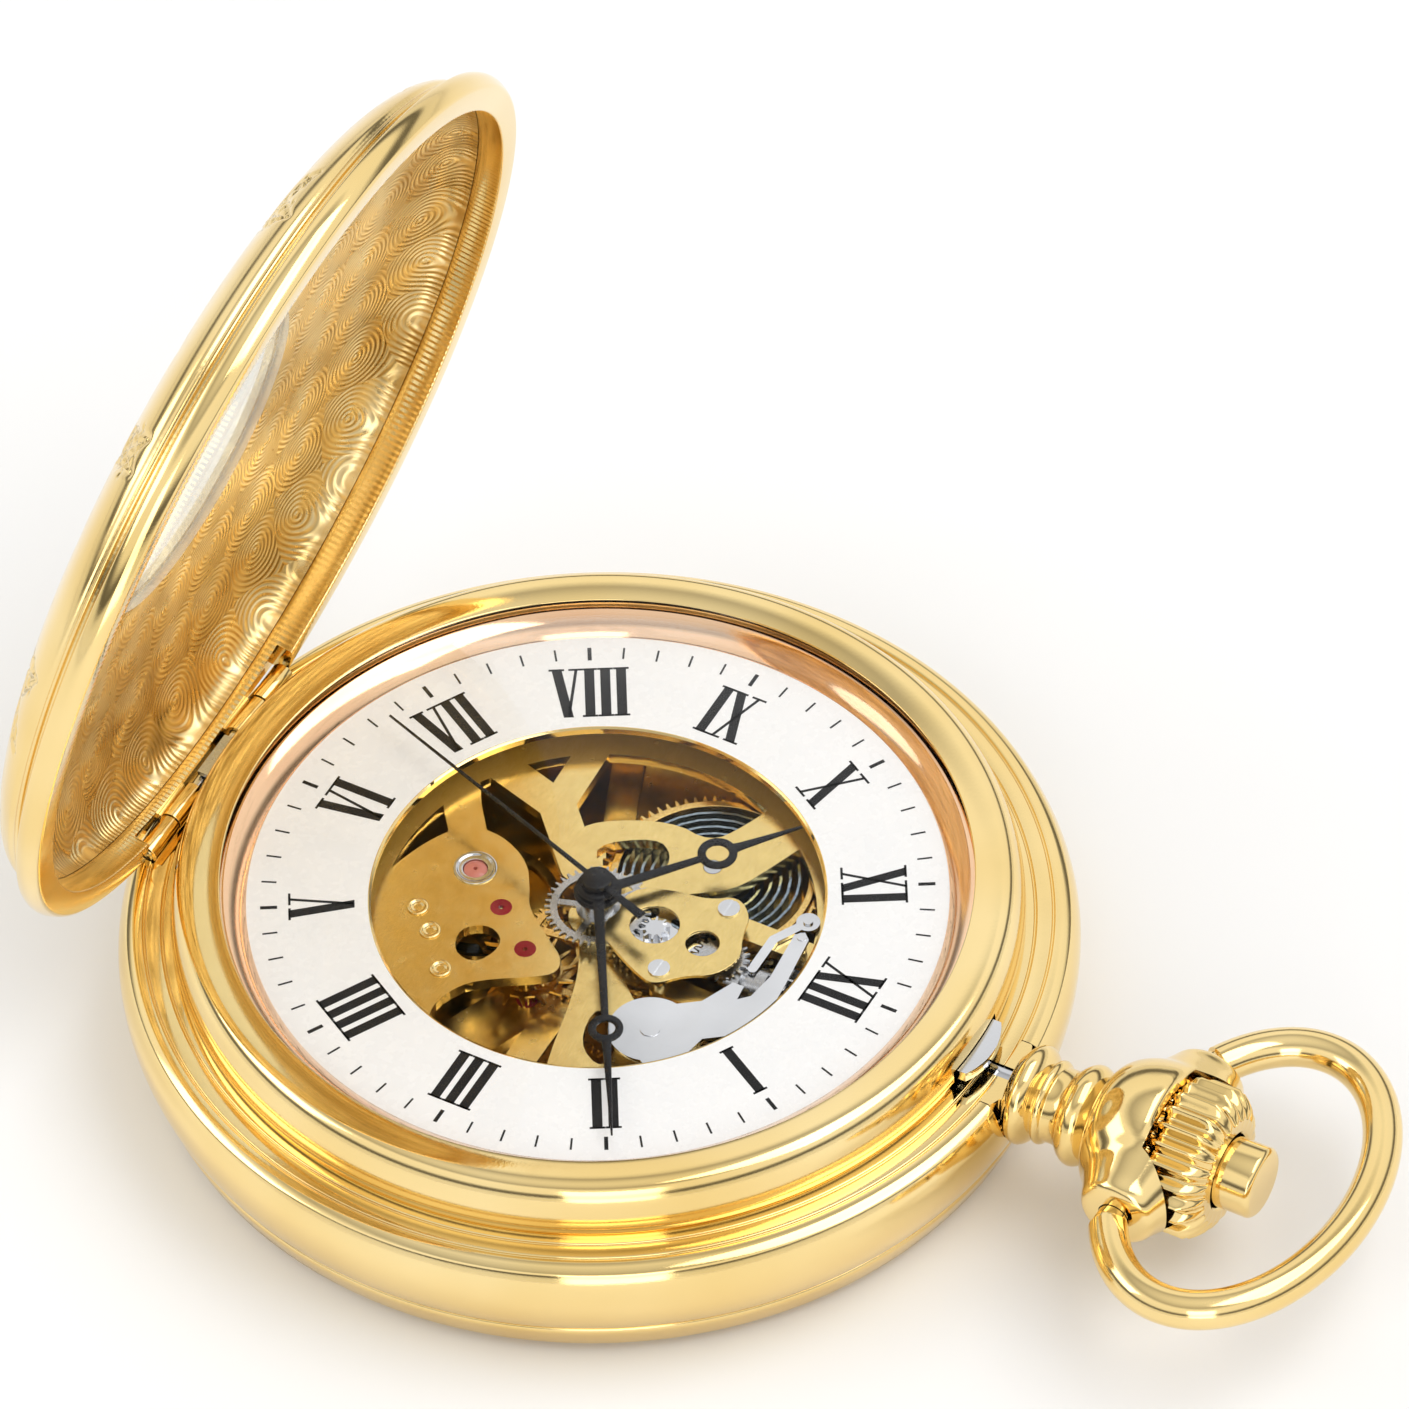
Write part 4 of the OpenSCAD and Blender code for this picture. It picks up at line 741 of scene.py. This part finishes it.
neck = [(0, 22.62), (2.4, 22.62), (2.4, 23.2), (1.85, 23.45)] + bead(23.6, 25.1, 1.9, 2.6)
neck += bead(25.15, 25.75, 1.95, 2.2) + [(1.95, 26.2)]
neck += bead(26.5, 28.2, 2.0, 2.65) + [(2.1, 28.35), (0, 28.35)]
verts, faces = lathe(fillet(neck, 0.06, 2), 120)
pendant_neck = build("pendant_neck", along_y(verts), faces, mat_gold)
clear = box_mesh(-3, 3, 22, 23.55, LEDGE_Z, DIAL_Z + 3)
bore = lathe([(0, 20), (0.98, 20), (0.98, 40), (0, 40)], 48)
cut(pendant_neck, clear, (along_y(bore[0]), bore[1]))
place(pendant_neck, "case")

# the head: a bulb blended with the bar that holds the bow's ends
HEAD_Y, HEAD_HALF = 31.6, 5.25
bulb = [(0, 28.0), (2.05, 28.0)]
bulb += [(2.1 + 2.1 * math.sin(math.radians(5 * i)) ** 0.9, 28.2 + 3.2 * (1 - math.cos(math.radians(5 * i))))
         for i in range(1, 19)]
bulb += [(4.15, 31.75), (3.95, 31.93), (0, 31.93)]
v1, f1 = lathe(bulb, 96)
v1 = along_y(v1)
half_ear = [(0, HEAD_HALF), (1.7, HEAD_HALF), (1.98, HEAD_HALF - 0.22), (2.15, 4.5), (2.5, 3.8), (3.0, 2.8),
            (3.35, 1.6)]
ear = [(r, -w) for r, w in half_ear] + [(3.45, 0)] + half_ear[::-1]
v2, f2 = lathe(ear, 72)
v2 = along_x(v2, HEAD_Y, STEM_Z)
k = len(v1)
head = build("pendant_head", v1 + v2, f1 + [tuple(k + i for i in f) for f in f2], mat_gold)
remesh = head.modifiers.new("blend", "REMESH")
remesh.mode, remesh.voxel_size = "VOXEL", 0.11 * MM
relax = head.modifiers.new("relax", "SMOOTH")
relax.factor, relax.iterations = 0.5, 50
bake(head)
cup = lathe([(0, 30.7), (3.4, 30.7), (3.4, 31.95), (4.1, 31.95), (4.1, 38), (0, 38)], 96)
socket = lathe([(0, 3.9), (0.85, 3.9), (0.85, 8), (0, 8)], 32)
socket_r = along_x(socket[0], HEAD_Y, STEM_Z)
cut(head, (along_y(cup[0]), cup[1]), (along_y(bore[0]), bore[1]), (socket_r, socket[1]),
    ([(-x, y, z) for x, y, z in socket_r], socket[1]))
place(head, "case", ["pendant"])

FLUTES = 24
CROWN_Y0, CROWN_Y1, CROWN_R = 32.05, 35.3, 3.95


def flute(r, y, a):
    if r < 2.75 or y < CROWN_Y0 - 0.02:
        return r
    depth = 0.5 if y < CROWN_Y1 - 0.7 else 0.3
    return r - depth * abs(math.cos(FLUTES * a / 2)) ** 1.6


crown_profile = [(0.95, 31), (3.1, 31), (3.1, CROWN_Y0), (CROWN_R - 0.45, CROWN_Y0),
                 (CROWN_R - 0.1, CROWN_Y0 + 0.25)]
crown_profile += [(CROWN_R, y) for y in np.linspace(CROWN_Y0 + 0.5, CROWN_Y1 - 1, 6)]
crown_profile += [(3.7, CROWN_Y1 - 0.65), (3.35, CROWN_Y1 - 0.3), (2.95, CROWN_Y1 - 0.06), (2.7, CROWN_Y1),
                  (2.1, CROWN_Y1), (1.97, CROWN_Y1 - 0.1), (1.95, 32.6), (0.95, 32.6)]
verts, faces = lathe(crown_profile, 480, flute)
build("crown_fluted", along_y(verts), faces, mat_gold, "crown", "gold_polish", ["crown"])

cap = fillet([(0, 34.9), (1.85, 34.9), (1.85, 37.0), (1.65, 37.2), (0, 37.2)], 0.12)
verts, faces = lathe(cap, 96)
build("button_cap", along_y(verts), faces, mat_gold, "crown_button", "gold_polish", ["crown_button"])
rod = fillet([(0, 21.4), (0.4, 21.4), (0.4, 34.95), (0, 34.95)], 0.08)
verts, faces = lathe(rod, 36)
build("button_rod", along_y(verts), faces, mat_steel, "crown_button", "steel_polish")

BOW_Y, BOW_A, BOW_B, WIRE_R = 36.2, 9.15, 5.95, 1.0
END_X = 5.95
end_turn = math.pi - math.asin(END_X / BOW_A)
RINGS, SIDES = 160, 32
verts, faces = [], []
for i in range(RINGS + 1):
    t = end_turn * (2 * i / RINGS - 1)
    at = Vector((BOW_A * math.sin(t), BOW_Y + BOW_B * math.cos(t), STEM_Z))
    side = Vector((BOW_B * math.sin(t), BOW_A * math.cos(t), 0)).normalized()
    for j in range(SIDES):
        u = 2 * math.pi * j / SIDES
        verts.append(at + WIRE_R * (math.cos(u) * side + Vector((0, 0, math.sin(u)))))
for i in range(RINGS):
    for j in range(SIDES):
        k = (j + 1) % SIDES
        faces.append((i * SIDES + j, (i + 1) * SIDES + j, (i + 1) * SIDES + k, i * SIDES + k))
faces += [tuple(range(SIDES)), tuple(range(RINGS * SIDES, (RINGS + 1) * SIDES))]
build("bow_wire", verts, faces, mat_gold, "bow", "gold_polish", ["bow"])
for side, name in ((1, "bow_pin_right"), (-1, "bow_pin_left")):
    verts, faces = lathe(fillet([(0, 4.2), (0.8, 4.2), (0.8, 6.15), (0, 6.15)], 0.1), 48)
    verts = [(side * x, y, z) for x, y, z in along_x(verts, HEAD_Y, STEM_Z)]
    build(name, verts, faces, mat_gold, "bow", "gold_polish")


# ---------- small parts of the movement ----------

BALANCE = (0, -7)
PLATE_Z = DIAL_Z - 1.5


def small_lathe(name, profile, at, mat, slot, replaces=(), segments=72):
    verts, faces = lathe(fillet(profile, 0.04, 3), segments)
    build(name, [(x + at[0], y + at[1], z) for x, y, z in verts], faces, mat, "case", slot, replaces)


SETTINGS = (("shock_front", PLATE_Z - 0.6, PLATE_Z + 0.08), ("shock_back", DIAL_Z - 6.4, DIAL_Z - 5.75))
for name, z0, z1 in SETTINGS:
    ring = [(0.62, z0), (1.1, z0), (1.1, z1), (0.95, z1), (0.85, z1 - 0.07), (0.62, z1 - 0.07)]
    small_lathe(name, ring, BALANCE, mat_steel, "steel_polish", ["balance_jewels"])
    stone = [(0.1, z0 + 0.05), (0.6, z0 + 0.05), (0.6, z1 - 0.16), (0.35, z1 - 0.08), (0.1, z1 - 0.06)]
    small_lathe(name + "_stone", stone, BALANCE, mat_pink, "ruby")
BUSHES = ((3.6, -8.3), (4.7, -7.0), (6.7, -5.3))
for i, at in enumerate(BUSHES):
    bush = [(0.2, PLATE_Z + 0.002), (0.55, PLATE_Z + 0.002), (0.55, PLATE_Z + 0.09), (0.42, PLATE_Z + 0.12),
            (0.34, PLATE_Z + 0.05), (0.2, PLATE_Z + 0.03)]
    small_lathe(f"plate_bush_{i}", bush, at, mat_gold, "gold_movement")


# ---------- carried-over CAD nodes ----------

LOOK = {
    mat_gold: ["case_knuckles", "lid_knuckles"],
    mat_movement: ["movement_ring", "main_plate", "works_cover", "barrel_bridge", "centre_bridge",
                   "train_bridge", "pallet_cock", "balance_cock"],
    mat_wheel: ["barrel", "centre_wheel", "third_wheel", "fourth_wheel", "escape_wheel", "balance_wheel"],
    mat_steel: ["button_spring", "lock_spring", "hinge_pin", "case_screws", "works_screws", "minute_wheel",
                "winding_stem", "setting_lever", "yoke", "lever_spring", "barrel_arbor", "click", "regulator",
                "pallet_fork"],
    mat_satin: ["lift_spring", "hour_wheel", "cannon_pinion", "setting_wheel", "clutch", "winding_pinion",
                "ratchet_wheel", "transfer_wheel", "crown_wheel"],
    mat_blued: ["bridge_screws", "hairspring"],
    mat_coil: ["mainspring"],
    mat_ruby: ["jewels"],
}
for mat, names in LOOK.items():
    for name in names:
        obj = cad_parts[name]
        obj.data.materials.clear()
        obj.data.materials.append(mat)
BEVELLED = ["case_knuckles", "lid_knuckles", "main_plate", "works_cover", "lever_spring", "works_screws",
            "lock_spring", "lift_spring", "minute_wheel", "barrel", "bridge_screws", "setting_lever"]
for name in BEVELLED:
    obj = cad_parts[name]
    weld = obj.modifiers.new("weld", "WELD")
    weld.merge_threshold = 1e-6
    edge = obj.modifiers.new("edges", "BEVEL")
    edge.width, edge.segments, edge.limit_method, edge.angle_limit = 0.03 * MM, 2, "ANGLE", math.radians(40)
    edge.harden_normals = True


# ---------- stage ----------

FLOOR_R, FLOOR_Z = 3.0, -0.00002
corners = ((-1, -1), (1, -1), (1, 1), (-1, 1))
floor_mesh = bpy.data.meshes.new("floor")
floor_mesh.from_pydata([(FLOOR_R * x, FLOOR_R * y, FLOOR_Z) for x, y in corners], [], [(0, 1, 2, 3)])
floor = bpy.data.objects.new("floor", floor_mesh)
bpy.context.scene.collection.objects.link(floor)
s = Shader("floor_pale", (0.9, 0.9, 0.9), metallic=0.0, roughness=0.7)
s.color(s.noise(0.01, 2), (0.88, 0.88, 0.88), (0.9, 0.9, 0.9))
floor.data.materials.append(s.mat)

world = bpy.data.worlds.new("studio")
world.use_nodes = True
world.node_tree.nodes["Background"].inputs["Strength"].default_value = 1.0
bpy.context.scene.world = world
sky = world.node_tree
aim = sky.nodes.new("ShaderNodeTexCoord").outputs["Generated"]
split = sky.nodes.new("ShaderNodeSeparateXYZ")
sky.links.new(aim, split.inputs[0])
shade = sky.nodes.new("ShaderNodeValToRGB")
SKY = ((0.0, 0.9), (0.14, 0.85), (0.2, 0.14), (0.3, 0.2), (0.42, 1.0), (0.74, 1.05), (0.84, 0.5), (1.0, 0.9))
while len(shade.color_ramp.elements) < len(SKY):
    shade.color_ramp.elements.new(0.5)
for element, (at, level) in zip(shade.color_ramp.elements, SKY):
    element.position, element.color = at, (level, level, level, 1)
sky.links.new(split.outputs["Z"], shade.inputs["Fac"])
sky.links.new(shade.outputs["Color"], sky.nodes["Background"].inputs["Color"])
bpy.context.scene.view_settings.view_transform = "Standard"


def area(name, at, aim, size, power):
    data = bpy.data.lights.new(name, "AREA")
    data.shape = "RECTANGLE"
    data.size, data.size_y = size
    data.energy = power
    obj = bpy.data.objects.new(name, data)
    bpy.context.scene.collection.objects.link(obj)
    obj.location = Vector(at)
    obj.rotation_euler = (Vector(aim) - Vector(at)).to_track_quat("-Z", "Y").to_euler()


area("key", (-0.15, 0.35, 0.7), (0, 0, 0), (0.7, 0.5), 2.4)
area("side", (0.75, 0.45, 0.3), (0, 0, 0.01), (0.35, 0.7), 1.5)
area("front", (0.35, -0.7, 0.55), (0, 0, 0.01), (0.6, 0.35), 1.3)

# the camera looks down on the dial from between twelve and three, toward the open lid
AZ, EL, ROLL = math.radians(119.65), math.radians(47.4), math.radians(-1.8)
DIST, FOCAL, SENSOR = 0.9256, 13.09, 36  # metres away, focal length in sensor widths, sensor in mm
LOOK_AT = (-13.80, -1.41, DIAL_Z)
back = Vector((math.sin(AZ) * math.cos(EL), -math.cos(AZ) * math.cos(EL), math.sin(EL)))
right = Vector((math.cos(AZ), math.sin(AZ), 0))
up = back.cross(right)
side = right * math.cos(ROLL) + up * math.sin(ROLL)
top = -right * math.sin(ROLL) + up * math.cos(ROLL)
eye = Vector(LOOK_AT) * MM + back * DIST
cam_data = bpy.data.cameras.new("camera")
cam_data.sensor_width = SENSOR
cam_data.lens = FOCAL * SENSOR
cam_data.clip_start, cam_data.clip_end = 0.01, 20
camera = bpy.data.objects.new("camera", cam_data)
bpy.context.scene.collection.objects.link(camera)
camera.matrix_world = Matrix((
    (side.x, top.x, back.x, eye.x),
    (side.y, top.y, back.y, eye.y),
    (side.z, top.z, back.z, eye.z),
    (0, 0, 0, 1),
))
bpy.context.scene.camera = camera
